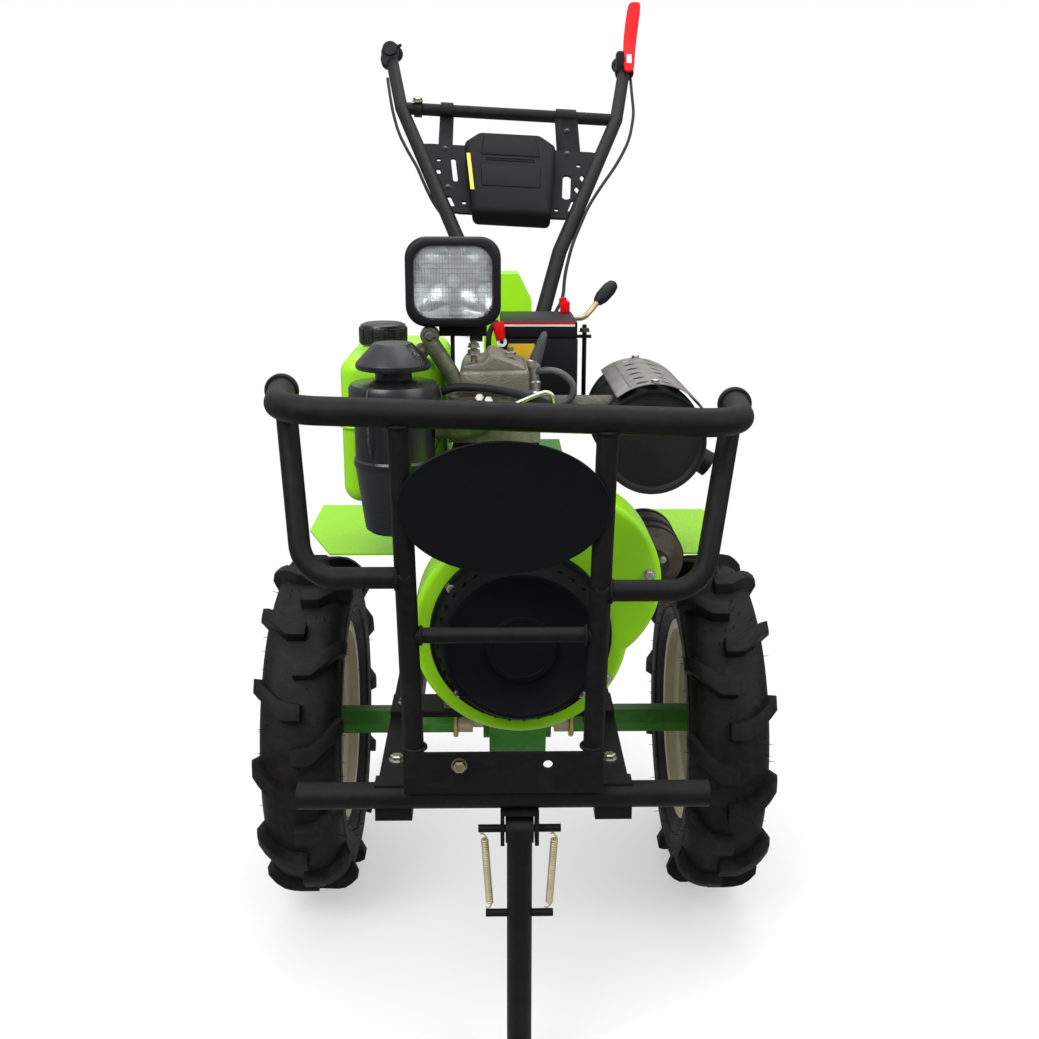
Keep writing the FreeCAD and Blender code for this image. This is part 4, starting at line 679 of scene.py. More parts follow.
# ---------------------------------------------------------------- geometry nodes
class Growth(Tree):
    """A geometry node tree with named inputs, which ends in Realize Instances and Set Material."""

    KINDS = {int: "NodeSocketInt", float: "NodeSocketFloat", tuple: "NodeSocketVector"}

    def __init__(self, name: str, **inputs: Union[int, float, tuple]) -> None:
        """Starts the tree.

        Args:
            name: The tree's name.
            inputs: The named inputs' defaults.
        """
        super().__init__(bpy.data.node_groups.new(name, "GeometryNodeTree"))
        face = self.tree.interface
        face.new_socket("Geometry", in_out="INPUT", socket_type="NodeSocketGeometry")
        for label, default in inputs.items():
            face.new_socket(label, in_out="INPUT",
                            socket_type=self.KINDS[type(default)]).default_value = default
        face.new_socket("Material", in_out="INPUT", socket_type="NodeSocketMaterial")
        face.new_socket("Geometry", in_out="OUTPUT", socket_type="NodeSocketGeometry")
        self.given = self.tree.nodes.new("NodeGroupInput").outputs

    def end(self, geometry: Socket) -> Growth:
        """Realizes the copies, gives them the material and ends the tree.

        Args:
            geometry: What the tree has made.

        Returns:
            The tree.
        """
        real = self.add("GeometryNodeRealizeInstances", {"Geometry": geometry})
        dressed = self.add("GeometryNodeSetMaterial", {"Geometry": real, "Material": self.given["Material"]})
        self.feed(self.tree.nodes.new("NodeGroupOutput"), {0: dressed})
        return self

    def copies(self, points: Socket, instance: Socket, **how: Socket) -> Growth:
        """Ends the tree with a copy at each point; how has the copies' Rotation and Scale."""
        inputs = {"Points": points, "Instance": instance, **how}
        return self.end(self.add("GeometryNodeInstanceOnPoints", inputs))

    def grow(self, shape: Shape, finish: Finish, **values: object) -> bpy.types.Mesh:
        """Runs the tree on a mesh.

        Args:
            shape: The mesh that goes in.
            finish: The finish for Set Material.
            values: Values of the named inputs.

        Returns:
            The plain mesh that comes out.
        """
        holder = shown("seed", baked(shape))
        modifier = holder.modifiers.new("growth", "NODES")
        modifier.node_group = self.tree
        named = {item.name: item.identifier for item in self.tree.interface.items_tree
                 if item.in_out == "INPUT"}
        for label, value in values.items():
            modifier[named[label]] = [float(v) for v in value] if hasattr(value, "__len__") else value
        modifier[named["Material"]] = finish.material()
        return evaluated(holder)


@cache
def around() -> Growth:
    """Copies of a piece about an axis.

    Returns:
        The tree.
    """
    tree = Growth("copies_about_an_axis", Count=6, Step=1.0, Centre=(0, 0, 0), Axis=(1, 0, 0))
    given = tree.given
    back = tree.add("ShaderNodeVectorMath", {0: given["Centre"], "Scale": -1.0}, operation="SCALE")
    seat = tree.add("GeometryNodeTransform", {"Geometry": given["Geometry"], "Translation": back})
    points = tree.add("GeometryNodePoints", {"Count": given["Count"], "Position": given["Centre"]})
    angle = tree.arithmetic("MULTIPLY", tree.add("GeometryNodeInputIndex", {}), given["Step"])
    turn = tree.add("FunctionNodeAxisAngleToRotation", {"Axis": given["Axis"], "Angle": angle})
    return tree.copies(points, seat, Rotation=turn)


@cache
def along() -> Growth:
    """Copies of a piece in a row.

    Returns:
        The tree.
    """
    tree = Growth("copies_in_a_row", Count=6, Step=(0, 0, 0.01))
    line = tree.add("GeometryNodeMeshLine", {"Count": tree.given["Count"], "Offset": tree.given["Step"]})
    return tree.copies(line, tree.given["Geometry"])


@cache
def bolts() -> Growth:
    """A hexagon head on a washer at each point, turned to the point's facing.

    Returns:
        The tree.
    """
    tree = Growth("hexagon_bolts", Head=0.62, Washer=1.22)
    head, seat = tree.given["Head"], 0.14
    middle = tree.arithmetic("ADD", tree.arithmetic("DIVIDE", head, 2.0), seat)
    parts = []
    for kind, inputs, lift in (
            ("Cylinder", {"Vertices": 6, "Radius": 1.0, "Depth": head}, middle),
            ("Cone", {"Vertices": 6, "Radius Top": 0.72, "Radius Bottom": 1.0, "Depth": 0.12},
             tree.arithmetic("ADD", head, seat)),
            ("Cylinder", {"Vertices": 24, "Radius": tree.given["Washer"], "Depth": seat}, seat / 2)):
        shift = tree.add("ShaderNodeCombineXYZ", {2: lift})
        part = tree.add("GeometryNodeMesh" + kind, inputs)
        parts.append(tree.add("GeometryNodeTransform", {"Geometry": part, "Translation": shift}))
    bolt = tree.add("GeometryNodeJoinGeometry", {0: parts})
    facing = tree.add("GeometryNodeInputNamedAttribute", {"Name": "facing"}, data_type="FLOAT_VECTOR")
    size = tree.add("GeometryNodeInputNamedAttribute", {"Name": "size"}, data_type="FLOAT")
    turn = tree.add("FunctionNodeAlignRotationToVector", {"Vector": facing}, axis="Z")
    scale = tree.add("ShaderNodeCombineXYZ", {0: size, 1: size, 2: size})
    return tree.copies(tree.given["Geometry"], bolt, Rotation=turn, Scale=scale)


@cache
def coil() -> Growth:
    """A helical spring.

    Returns:
        The tree.
    """
    tree = Growth("helical_spring", Turns=20.0, Radius=0.005, Wire=0.001, Length=0.08, Start=(0, 0, 0),
                  Turn=(0, 0, 0))
    given = tree.given
    helix = tree.add("GeometryNodeCurveSpiral", {
        "Resolution": 14, "Rotations": given["Turns"], "Start Radius": given["Radius"],
        "End Radius": given["Radius"], "Height": given["Length"]})
    ring = tree.add("GeometryNodeCurvePrimitiveCircle", {"Resolution": 8, "Radius": given["Wire"]})
    wire = tree.add("GeometryNodeCurveToMesh", {"Curve": helix, "Profile Curve": ring, "Fill Caps": True})
    return tree.end(tree.add("GeometryNodeTransform", {
        "Geometry": wire, "Translation": given["Start"], "Rotation": given["Turn"]}))


@cache
def hairs() -> Growth:
    """Thin rubber hairs that stand on a surface.

    Returns:
        The tree.
    """
    tree = Growth("rubber_hairs", Density=300.0, Length=0.01, Seed=3)
    given = tree.given
    spots = tree.add("GeometryNodeDistributePointsOnFaces", {
        "Mesh": given["Geometry"], "Density": given["Density"], "Seed": given["Seed"]}).node.outputs
    hair = tree.add("GeometryNodeMeshCone", {"Vertices": 5, "Radius Top": 0.00025, "Radius Bottom": 0.0007,
                                             "Depth": given["Length"]})
    length = tree.add("FunctionNodeRandomValue", {2: 0.5, 3: 1.0, "Seed": given["Seed"]}, 1,
                      data_type="FLOAT")
    scale = tree.add("ShaderNodeCombineXYZ", {0: 1.0, 1: 1.0, 2: length})
    return tree.copies(spots["Points"], hair, Rotation=spots["Rotation"], Scale=scale)


def ringed(shape: Shape, finish: Finish, count: int, centre: Vector, axis: Place) -> bpy.types.Mesh:
    """A number of copies of a shape, evenly about an axis through a centre."""
    return around().grow(shape, finish, Count=count, Step=math.tau / count, Centre=centre, Axis=axis)


def bolt_piece(name: str, rows: Sequence[tuple[Place, Place, float]], finish: Finish,
               body: str = MACHINE) -> None:
    """Bolt heads from a table.

    Args:
        name: The piece's name.
        rows: A place, an outward direction and a head radius for each bolt.
        finish: Their finish.
        body: The body that they ride on.
    """
    seed = bpy.data.meshes.new("places")
    seed.from_pydata([tuple(spot(place)) for place, _, _ in rows], [], [])
    seed.attributes.new("facing", "FLOAT_VECTOR", "POINT")
    seed.attributes.new("size", "FLOAT", "POINT")
    facing, size = seed.attributes["facing"], seed.attributes["size"]
    for k, (_, direction, radius) in enumerate(rows):
        facing.data[k].vector = Vector(direction).normalized()
        size.data[k].value = radius / 1000
    made_piece(name, bolts().grow(seed, finish), finish, body, angle=25.0)


# ---------------------------------------------------------------- wheels
@dataclass
class Wheel:
    """A cleated tyre on its cream rim."""

    side: Side
    centre_x: float = 320.5
    radius: float = 275.0
    lugs: int = 13
    lug_bevel: float = 1.6
    bolt_circle: float = 49.0
    disc_inside: float = 6.0
    disc_outside: float = 20.0
    valve_radius: float = 132.0
    ring_x: float = 92.0
    hair_density: float = 620.0
    hair_length: float = 11.0

    #: The carcass: distance from the centre plane and radius.
    CARCASS = ((41, 157), (43.5, 166), (47, 172), (54, 183), (59, 197), (60, 208), (59, 222), (57, 232),
               (53, 243), (46, 250), (38, 255), (25, 257.5), (0, 258.5))
    #: A lug by stations: place around, half width, top and foot as the carcass has them.
    LUG = ((-13.4, 13.4, -7, 275, -7, 249), (-14.5, 14.5, 8, 275, 8, 249), (-16.5, 15.5, 21, 275, 21, 248),
           (-27, 14.8, 33, 274, 32, 247), (-38, 14.4, 45, 271.5, 41, 244), (-48, 13.8, 56, 265, 46, 240),
           (-57.6, 13.4, 65.5, 256, 51, 234), (-60, 13.2, 67.8, 244, 54, 228),
           (-60.5, 13, 60.5, 228, 52, 220))
    #: Where the outer lugs' leading edges start, in degrees, on the left tyre and on the right one.
    PHASE = {Side.LEFT: 66.0, Side.RIGHT: 72.7}

    @property
    def body(self) -> str:
        """The body that the wheel turns with."""
        return self.side.word + "_wheel"

    def out(self, reach: float) -> float:
        """An X that is this far out from the track's middle, on the wheel's side."""
        return self.side.value * reach

    def hub(self) -> Vector:
        """The wheel's centre."""
        return at(self.out(self.centre_x), 0, self.radius)

    def carcass(self) -> bmesh.types.BMesh:
        """The tyre without its lugs, as a closed mesh."""
        half = [(r, u) for u, r in self.CARCASS]
        return lathe(half + [(r, -u) for r, u in reversed(half[:-1])] + half[:1], self.hub(), RIGHT, 144)

    def lug(self, hand: int, turn: float) -> bmesh.types.BMesh:
        """One lug at the top of the tyre.

        Args:
            hand: 1 for the half toward +X, -1 for the other.
            turn: How far it is turned about the axle, in radians.

        Returns:
            The mesh.
        """
        shape, rings = bmesh.new(), []
        for middle, half, top_u, top_r, foot_u, foot_r in self.LUG:
            ring = []
            for shift, u, r in ((-half - 3, foot_u, foot_r), (-half + 1.5, top_u, top_r),
                                (half - 1.5, top_u, top_r), (half + 3, foot_u, foot_r)):
                angle = turn + (middle + shift) / self.radius
                place = Vector((hand * u, -r * math.sin(angle), r * math.cos(angle))) / 1000
                ring.append(shape.verts.new(self.hub() + place))
            rings.append(ring)
        skin(shape, rings)
        shape.faces.new(rings[0][::-1])
        shape.faces.new(rings[-1])
        soften(shape, 38, self.lug_bevel, 2, 0.6)
        return shape

    def tyre(self) -> None:
        """Builds the tyre with its lugs and its moulding hairs."""
        pair, rings = bmesh.new(), bmesh.new()
        start = math.radians(self.PHASE[self.side])
        for hand, turn in ((self.side.value, start), (-self.side.value, start + math.pi / self.lugs)):
            merged(self.lug(hand, turn), pair)
        lugs = ringed(pair, TYRE, self.lugs, self.hub(), RIGHT)
        for sign in (-1, 1):
            for radius, u in ((222, 58.6), (190, 56.7)):
                profile = [(radius + 2.5, 0), (radius, 1.6), (radius - 2.5, 0), (radius + 2.5, 0)]
                lathe(profile, self.hub() + Vector((sign * u / 1000, 0, 0)), (sign, 0, 0), 144, rings)
        carcass = baked(self.carcass())
        grown = hairs().grow(carcass.copy(), TYRE, Density=self.hair_density, Length=self.hair_length / 1000,
                             Seed=3 + self.side.value)
        mesh = baked(joined(carcass, lugs, grown, baked(rings)), outward=False)
        word = self.side.word
        made_piece("cleated_tyre_" + word, mesh, TYRE, self.body, replaces="tyre_" + word, angle=42.0)

    def fittings(self) -> None:
        """Builds the wheel bolts, the valve and the bare brass ring between the hub and the gearbox."""
        rows = []
        for k in range(5):
            angle = math.tau * k / 5 + 0.3
            y, z = self.bolt_circle * math.sin(angle), self.radius + self.bolt_circle * math.cos(angle)
            for reach, facing in ((self.disc_inside, -1), (self.disc_outside, 1)):
                rows.append(((self.out(self.centre_x + reach), y, z), (self.out(facing), 0, 0), 9.5))
        bolt_piece("wheel_bolts_" + self.side.word, rows, ZINC, self.body)
        valve = lathe([(0, 0), (6, 0), (6, 10), (4.2, 12), (4.2, 30), (0, 30)],
                      (self.out(self.centre_x + 24), 0, self.radius + self.valve_radius),
                      (self.out(0.8), 0, -0.6), 20)
        made_piece("tyre_valve_" + self.side.word, valve, RUBBER, self.body)
        ring = lathe([(17.5, 0), (29.5, 0), (31, 1.5), (31, 6.5), (29.5, 8), (17.5, 8), (17.5, 0)],
                     (self.out(self.ring_x), 0, self.radius), (self.out(1), 0, 0), 64)
        made_piece("brass_ring_" + self.side.word, ring, BRASS, self.body)

    def dress(self) -> None:
        """Dresses the whole wheel."""
        self.tyre()
        self.fittings()
        for finish, node in ((CREAM, "rim_"), (DEEP_GREEN, "hub_"), (YELLOW_ZINC, "half_shaft_")):
            paint_nodes(finish, node + self.side.word)


# ---------------------------------------------------------------- chassis and guard
@dataclass
class Chassis:
    """The gearbox, bed, fenders and nose."""

    bolt: float = 8.5
    case_bolt: float = 8.0

    def dress(self) -> None:
        """Paints the castings and frames, and adds their bolts."""
        paint_nodes(DEEP_GREEN, "gearbox")
        paint_nodes(GREEN, "shift_column")
        # The fenders take the darker copy of the lime enamel, which is painted shade.
        paint_nodes(SHADED_FENDER_GREEN, "fender_left", "fender_right")
        paint_nodes(IRON, "drawbar")
        paint_nodes(POWDER, "engine_bed", "front_support", "stand_bracket", "bumper_top_tube",
                    "bumper_post_left", "bumper_post_right", "bumper_loop_left", "bumper_loop_right",
                    "bumper_crossbar", "tank_shelf")
        paint_nodes(GLOSS_BLACK, "oval_plate")
        paint_nodes(CAST, "engine_block")
        rows = [((x, y, z), UP, self.bolt) for y, z in ((-440, 422), (-280, 430)) for x in (-157, 117)]
        rows += [((x, -63, z), FORWARD, self.case_bolt) for x in (-28, 34) for z in (320, 400)]
        bolt_piece("chassis_bolts", rows, ZINC)


@dataclass
class Guard:
    """The welded tube guard with its bare oval plate."""

    plate_half: Point = (123.0, 79.0)
    plate_thickness: float = 4.0
    frame_y: float = -505.0

    def plate(self) -> None:
        """Builds the bare oval plate with its softened rim."""
        low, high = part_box("oval_plate")
        centre = Vector(((low.x + high.x) / 2, high.y, (low.z + high.z) / 2))
        a, b = self.plate_half
        outline = [(a * math.cos(math.tau * k / 120), b * math.sin(math.tau * k / 120)) for k in range(120)]
        shape = slab(outline, self.plate_thickness, placed(centre, (90, "X")))
        piece = made_piece("oval_face", shape, GLOSS_BLACK, replaces="oval_plate", angle=40.0)
        rim = piece.modifiers.new("rim", "BEVEL")
        rim.width, rim.segments, rim.limit_method = 0.0014, 3, "ANGLE"

    def beads(self) -> None:
        """Adds the weld beads round the guard's joints."""
        rings = []
        for x, z, axis, radius in (
                (-139, 872, UP, 13.2), (99, 865, UP, 13.2), (-129, 472.5, UP, 13.2), (89, 472.5, UP, 13.2),
                (-146, 690.5, RIGHT, 13.2), (107, 673.5, RIGHT, 13.2), (-119, 618, RIGHT, 9.8),
                (79, 618, RIGHT, 9.8)):
            centre = at(x, self.frame_y, z)
            bead = bmesh.new()
            bmesh.ops.create_icosphere(bead, subdivisions=1, radius=0.003)
            bead.transform(placed(centre + Vector(axis).orthogonal().normalized() * radius / 1000))
            rings.append(ringed(bead, POWDER, max(18, int(radius * 2.3)), centre, axis))
        made_piece("weld_beads", joined(*rings), POWDER, angle=80.0)

    def dress(self) -> None:
        """Dresses the guard, and adds the plugs in the top tube's ends and the channel's bolt."""
        self.plate()
        self.beads()
        profile = [(0, -4), (19.5, -4), (21.2, -2), (21.2, 3), (18.5, 6.5), (10, 8.5), (0, 9)]
        plugs = None
        for x, z in ((-292.5, 891), (269.5, 874)):
            plugs = lathe(profile, (x, -375, z), BACK, 48, plugs)
        made_piece("tube_plugs", plugs, PLASTIC)
        bolt_piece("channel_bolt", [((-74, -523.1, 456), FORWARD, 8)], YELLOW_ZINC)


# ---------------------------------------------------------------- engine
@dataclass
class Engine:
    """The air-cooled engine: shroud, recoil starter, head, cover and pipes."""

    crank_x: float = 3.0
    crank_z: float = 575.0
    shroud_front: float = -388.0
    bolt_circle: float = 111.0
    head_top: float = 862.0
    hose: float = 4.8
    starter_x: float = 190.0
    starter_z: float = 628.0

    def starter_bands(self) -> None:
        """Adds the starter motor's end cap, its band and the screws of its nose."""
        bands = None
        for y, half in ((-229, 4), (-190, 9), (-140, 6)):
            bands = collar(45.5, 47.2, half, half / 10, (self.starter_x, y, self.starter_z), BACK, 64, bands)
        made_piece("starter_bands", bands, MATT_BLACK)
        rows = [((self.starter_x + 15 * math.cos(a), -262, self.starter_z + 15 * math.sin(a)), FORWARD, 4.2)
                for a in (0.5, 2.6, 4.7)]
        bolt_piece("starter_screws", rows, ZINC)

    def recoil(self) -> None:
        """Builds the dished recoil cover with its ribs and its bare centre."""
        origin = at(self.crank_x, self.shroud_front, self.crank_z)
        profile = [(0, 0), (118, 0), (118, 10), (116.5, 13), (112, 14.5), (104.5, 36), (100.5, 47),
                   (96.5, 51.5), (92, 52), (90, 50.5), (50, 49), (45.5, 50), (44, 56), (42, 57), (37, 57),
                   (36.2, 56.2), (0, 56.2)]
        dish = lathe(profile, origin, FORWARD, 128)
        made_piece("recoil_dish", dish, MATT_BLACK, replaces="recoil_cover", angle=40.0)
        turn = placed(origin + Vector((0.1015, -0.030, 0)), (72, "Y"), (90, "X"))
        rib = slab([(0, -1.3), (17, -1.3), (17, 1.3), (0, 1.3)], 4, turn, 0.6)
        made_piece("recoil_ribs", ringed(rib, MATT_BLACK, 36, origin, BACK), MATT_BLACK)

    def cover(self) -> None:
        """Builds the cast rocker cover with its gable, gasket and nuts."""
        top = self.head_top
        shape = box((-77, -247, top), (17, -123, top + 34), 5)
        gable = [(-46, 0), (44, 0), (41, 6), (-1, 22), (-8, 22), (-14, 12), (-42, 9)]
        shape = slab(gable, 108, placed((-30, -131, top + 32), (90, "X")), 3, shape)
        made_piece("rocker_cover", shape, CAST, replaces="valve_cover")
        gasket = box((-80, -250, top - 0.2), (20, -120, top + 2.2), 0.6)
        made_piece("cover_gasket", gasket, IRON)
        studs = None
        for x, y, foot, length in ((-58, -216, 38, 32), (-8, -196, 40, 20)):
            profile = [(0, 0), (4.5, 0), (4.5, length), (0, length + 1)]
            studs = lathe(profile, (x, y, top + foot), UP, 20, studs)
        made_piece("cover_studs", studs, YELLOW_ZINC)
        nuts = [(-58, -216, 52, 8.6), (-58, -216, 62, 7.4), (-8, -196, 47, 7.8)]
        nuts += [(x, y, 0.5, 7.8) for y in (-250, -120) for x in (-86, 26)]
        bolt_piece("head_nuts", [((x, y, top + lift), UP, radius) for x, y, lift, radius in nuts], ZINC)

    def injection(self) -> None:
        """Builds the injector, its rubber cap, the pipes and the lever."""
        base = at(24.5, -185, self.head_top)
        body = [(0, 0), (10.5, 0), (10.5, 10), (7.5, 12), (7.5, 30), (9.5, 31), (9.5, 40), (6, 42), (0, 42)]
        made_piece("injector_body", lathe(body, base, UP, 28), ZINC, replaces="injector", angle=30.0)
        cap = [(0, 0), (8.5, 0), (8.8, 6), (7.8, 18), (5.8, 34), (4.5, 42), (2.5, 45.5), (0, 46.2)]
        boot = lathe(cap, base + Vector((0.001, 0, 0.036)), (0.34, 0, 1), 28)
        made_piece("injector_boot", boot, GREY_RUBBER)
        loop = [(26, -186, 886), (40, -196, 890), (60, -202, 889), (80, -203, 873), (79, -202, 852),
                (60, -198, 842), (38, -192, 838)]
        made_piece("return_hose", rope(loop, self.hose), GREY_RUBBER)
        feed = [(-112, -262, 866), (-88, -264, 878), (-54, -266, 877), (-20, -266, 873), (16, -266, 864),
                (48, -262, 852)]
        made_piece("fuel_feed", rope(feed, 5.5), RUBBER)
        arm = [(-20, -268, 846), (-2, -270, 856), (22, -270, 866), (40, -269, 872), (50, -267, 864),
               (50, -262, 850)]
        made_piece("stop_lever", rope(arm, 3.4), ZINC)
        profile = [(0, 0), (6, 0), (6, 6), (4.5, 7), (4.5, 14), (0, 14)]
        for k, x, z in ((1, -50, 862), (2, -38, 858)):
            union = lathe(profile, (x, -258, z), (0, -1, 0.2), 6)
            made_piece(f"fuel_union_{k}", union, WHITE, angle=20.0)

    def elbow(self) -> None:
        """Builds the cast elbow beside the head, with its two bosses and their bolts."""
        shape = joined(rope([(-80, -238, 862), (-82, -238, 880), (-98, -240, 908), (-118, -241, 938)], 11.5))
        rows, reach = [], 19
        for x, y, z, r, head in ((-116, -230, 943, 12.7, 6.5), (-127, -226, 922, 10, 5)):
            knob = [(0, 0), (r - 1, 0), (r, 2), (r, 16), (r - 1.6, reach), (0, reach)]
            shape = merged(lathe(knob, (x, y, z), FORWARD, 40), shape)
            rows.append(((x, y - reach, z), FORWARD, head))
        made_piece("inlet_casting", shape, OLIVE_CAST)
        bolt_piece("inlet_bolt", rows, IRON)

    def dress(self) -> None:
        """Dresses the engine."""
        for finish, node in ((GREEN, "fan_shroud"), (CAST, "cylinder"), (UMBER_CAST, "starter_motor"),
                             (IRON, "intake_pipe")):
            paint_nodes(finish, node)
        self.starter_bands()
        self.recoil()
        self.cover()
        self.injection()
        self.elbow()
        circle = self.bolt_circle
        spots = [(self.crank_x + circle * math.cos(a), self.shroud_front - 11.5,
                  self.crank_z + circle * math.sin(a)) for a in (0.6, 2.5, 3.9, 5.5)]
        spots += [(x, self.shroud_front, z) for x, z in ((-78, 755), (78, 755), (168, 655), (116, 512))]
        bolt_piece("shroud_bolts", [(place, FORWARD, 6.2) for place in spots], ZINC)


# ---------------------------------------------------------------- tank, air and exhaust
@dataclass
class Breathing:
    """Tank, air cleaner, muffler and shield; the shield's angles are in degrees from +X toward +Z."""

    can_x: float = 187.0
    can_z: float = 798.0
    can_radius: float = 73.0
    can_front: float = -250.0
    can_length: float = 262.0
    shield_length: float = 250.0
    shield_radius: float = 81.0
    shield_start: float = 30.0
    shield_end: float = 130.0
    slot_rows: int = 6
    slot_columns: int = 3
    slots_start: float = 37.0
    slots_end: float = 115.0

    @property
    def tile(self) -> Point:
        """A tile of the shield: its angle and its length."""
        return (self.slots_end - self.slots_start) / self.slot_columns, self.shield_length / self.slot_rows

    def by_can(self, reach: float, back: float, turn: float = 0.0) -> Vector:
        """A place about the can.

        Args:
            reach: Its distance from the can's axis.
            back: How far it is behind the can's front.
            turn: Its angle.

        Returns:
            The place in the model's frame.
        """
        angle = math.radians(turn)
        x, z = reach * math.cos(angle), reach * math.sin(angle)
        return at(self.can_x + x, self.can_front + back, self.can_z + z)

    def tank(self) -> None:
        """Adds the tank's seam and its ribbed cap."""
        paint_nodes(GREEN, "fuel_tank")
        low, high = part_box("fuel_tank")
        size = (high - low) * 1000
        middle = low.lerp(high, 0.5)
        middle.z = low.z + (high.z - low.z) * 0.52
        made_piece("tank_seam", slab(rectangle(size.x + 7, size.y + 7, 27), 3, placed(middle), 1), GREEN)
        foot = at(-188, -130, 911)
        neck = [(33, -1), (29.5, 3), (29, 8), (0, 8), (0, -1)]
        made_piece("filler_neck", lathe(neck, foot, UP, 72), GREEN)
        cap = [(0, 7), (32.5, 7), (33.2, 8.5), (33.2, 30), (31.5, 34.5), (26, 37), (0, 37)]
        made_piece("filler_cap", lathe(cap, foot, UP, 72), SATIN_BLACK, replaces="fuel_cap")
        rib = box((-156, -135, 920), (-153.8, -125, 942), 0.8)
        made_piece("filler_cap_ribs", ringed(rib, SATIN_BLACK, 12, foot, UP), SATIN_BLACK)

    def cleaner(self) -> None:
        """Builds the oil-bath air cleaner with its clips."""
        foot = at(-161, -296, 0)
        profile = [(0, 690), (36, 690), (41.5, 694), (43, 702), (52.5, 777), (54.5, 781), (54.5, 788),
                   (52.5, 791), (52.5, 856), (56, 861), (58.8, 864), (59, 882), (56, 888), (33, 890),
                   (24, 894), (24, 906), (47, 907), (49, 910), (49, 914), (46, 918), (27, 938), (24.6, 940),
                   (0, 940)]
        made_piece("oil_bath_cleaner", lathe(profile, foot, UP), SATIN_BLACK, replaces="air_cleaner",
                   angle=28.0)
        clip = joined(rope([(x, -296, z) for x, z in ((-107.5, 800), (-101, 812), (-101.5, 850), (-99, 874),
                                                      (-103.5, 886))], 1.5))
        made_piece("cleaner_clips", ringed(clip, IRON, 3, foot, UP), IRON)

    def slot_tile(self) -> bmesh.types.BMesh:
        """One tile of the heat shield, at its first row and column, with a slot through it.

        Returns:
            The curved tile.
        """
        wide, deep = self.tile
        shape, rings, count, steps = bmesh.new(), [], 40, 4
        for step in range(steps + 1):
            ring = []
            for k in range(count):
                c, s = math.cos(math.tau * k / count), math.sin(math.tau * k / count)
                reach = 1 / max(abs(c), abs(s))
                inner = (7.2 * c, 7.5 * s * (1 - 0.35 * c * c))
                outer = (wide / 2 * c * reach, deep / 2 * s * reach)
                turn, back = (a + (b - a) * step / steps for a, b in zip(inner, outer))
                place = self.by_can(self.shield_radius, deep / 2 + back, self.slots_start + wide / 2 + turn)
                ring.append(shape.verts.new(place))
            rings.append(ring)
        skin(shape, rings)
        return shape

    def shield(self) -> None:
        """Builds the slotted shield from its tile and gives it its thickness."""
        wide, deep = self.tile
        row = around().grow(self.slot_tile(), SHIELD, Count=self.slot_columns, Step=-math.radians(wide),
                            Centre=self.by_can(0, 0), Axis=BACK)
        shape = joined(along().grow(row, SHIELD, Count=self.slot_rows, Step=(0, deep / 1000, 0)))
        for start, end in ((self.shield_start, self.slots_start), (self.slots_end, self.shield_end)):
            angles = [start + (end - start) * k / 6 for k in range(7)]
            edges = [[shape.verts.new(self.by_can(self.shield_radius, back, angle)) for angle in angles]
                     for back in (0, self.shield_length)]
            skin(shape, edges, closed=False)
        bmesh.ops.recalc_face_normals(shape, faces=shape.faces)
        bmesh.ops.remove_doubles(shape, verts=shape.verts, dist=0.00002)
        piece = made_piece("slotted_shield", baked(shape, outward=False), SHIELD, replaces="heat_shield",
                           angle=45.0)
        thicken(piece, 1.6, 0)
        rows = [(self.by_can(self.shield_radius + 0.5, back, 90), UP, 5.8)
                for back in (6, self.shield_length - 6)]
        bolt_piece("shield_screws", rows, ZINC)

    def muffler(self) -> None:
        """Builds the can with its rolled ends, its strap and its tail pipe."""
        r, full = self.can_radius, self.can_length
        profile = [(0, 6), (r * 0.55, 5), (r * 0.86, 7), (r * 0.93, 4.5), (r * 0.95, 0.5), (r * 0.985, 0),
                   (r, 3), (r, 8), (r * 0.985, 11), (r * 0.985, full - 11), (r, full - 8), (r, full - 3),
                   (r * 0.985, full), (r * 0.95, full - 0.5), (r * 0.86, full - 7), (0, full - 6)]
        shape = lathe(profile, self.by_can(0, 0), BACK)
        down = math.radians(31)
        tail = [(16, 60), (18, 50), (18.5, 112), (19.2, 116), (17.2, 116.5), (16, 60)]
        shape = lathe(tail, self.by_can(0, full / 2), (math.cos(down), 0, -math.sin(down)), 40, shape)
        for back in (63, 198):
            shape = collar(r * 0.98, r + 1.6, 8, 1, self.by_can(0, back), BACK, 96, shape)
        made_piece("muffler_can", shape, HOT_BLACK, replaces="muffler", angle=30.0)

    def dress(self) -> None:
        """Dresses the tank, the air cleaner and the exhaust."""
        self.tank()
        self.cleaner()
        self.muffler()
        self.shield()
        paint_nodes(IRON, "exhaust_pipe")


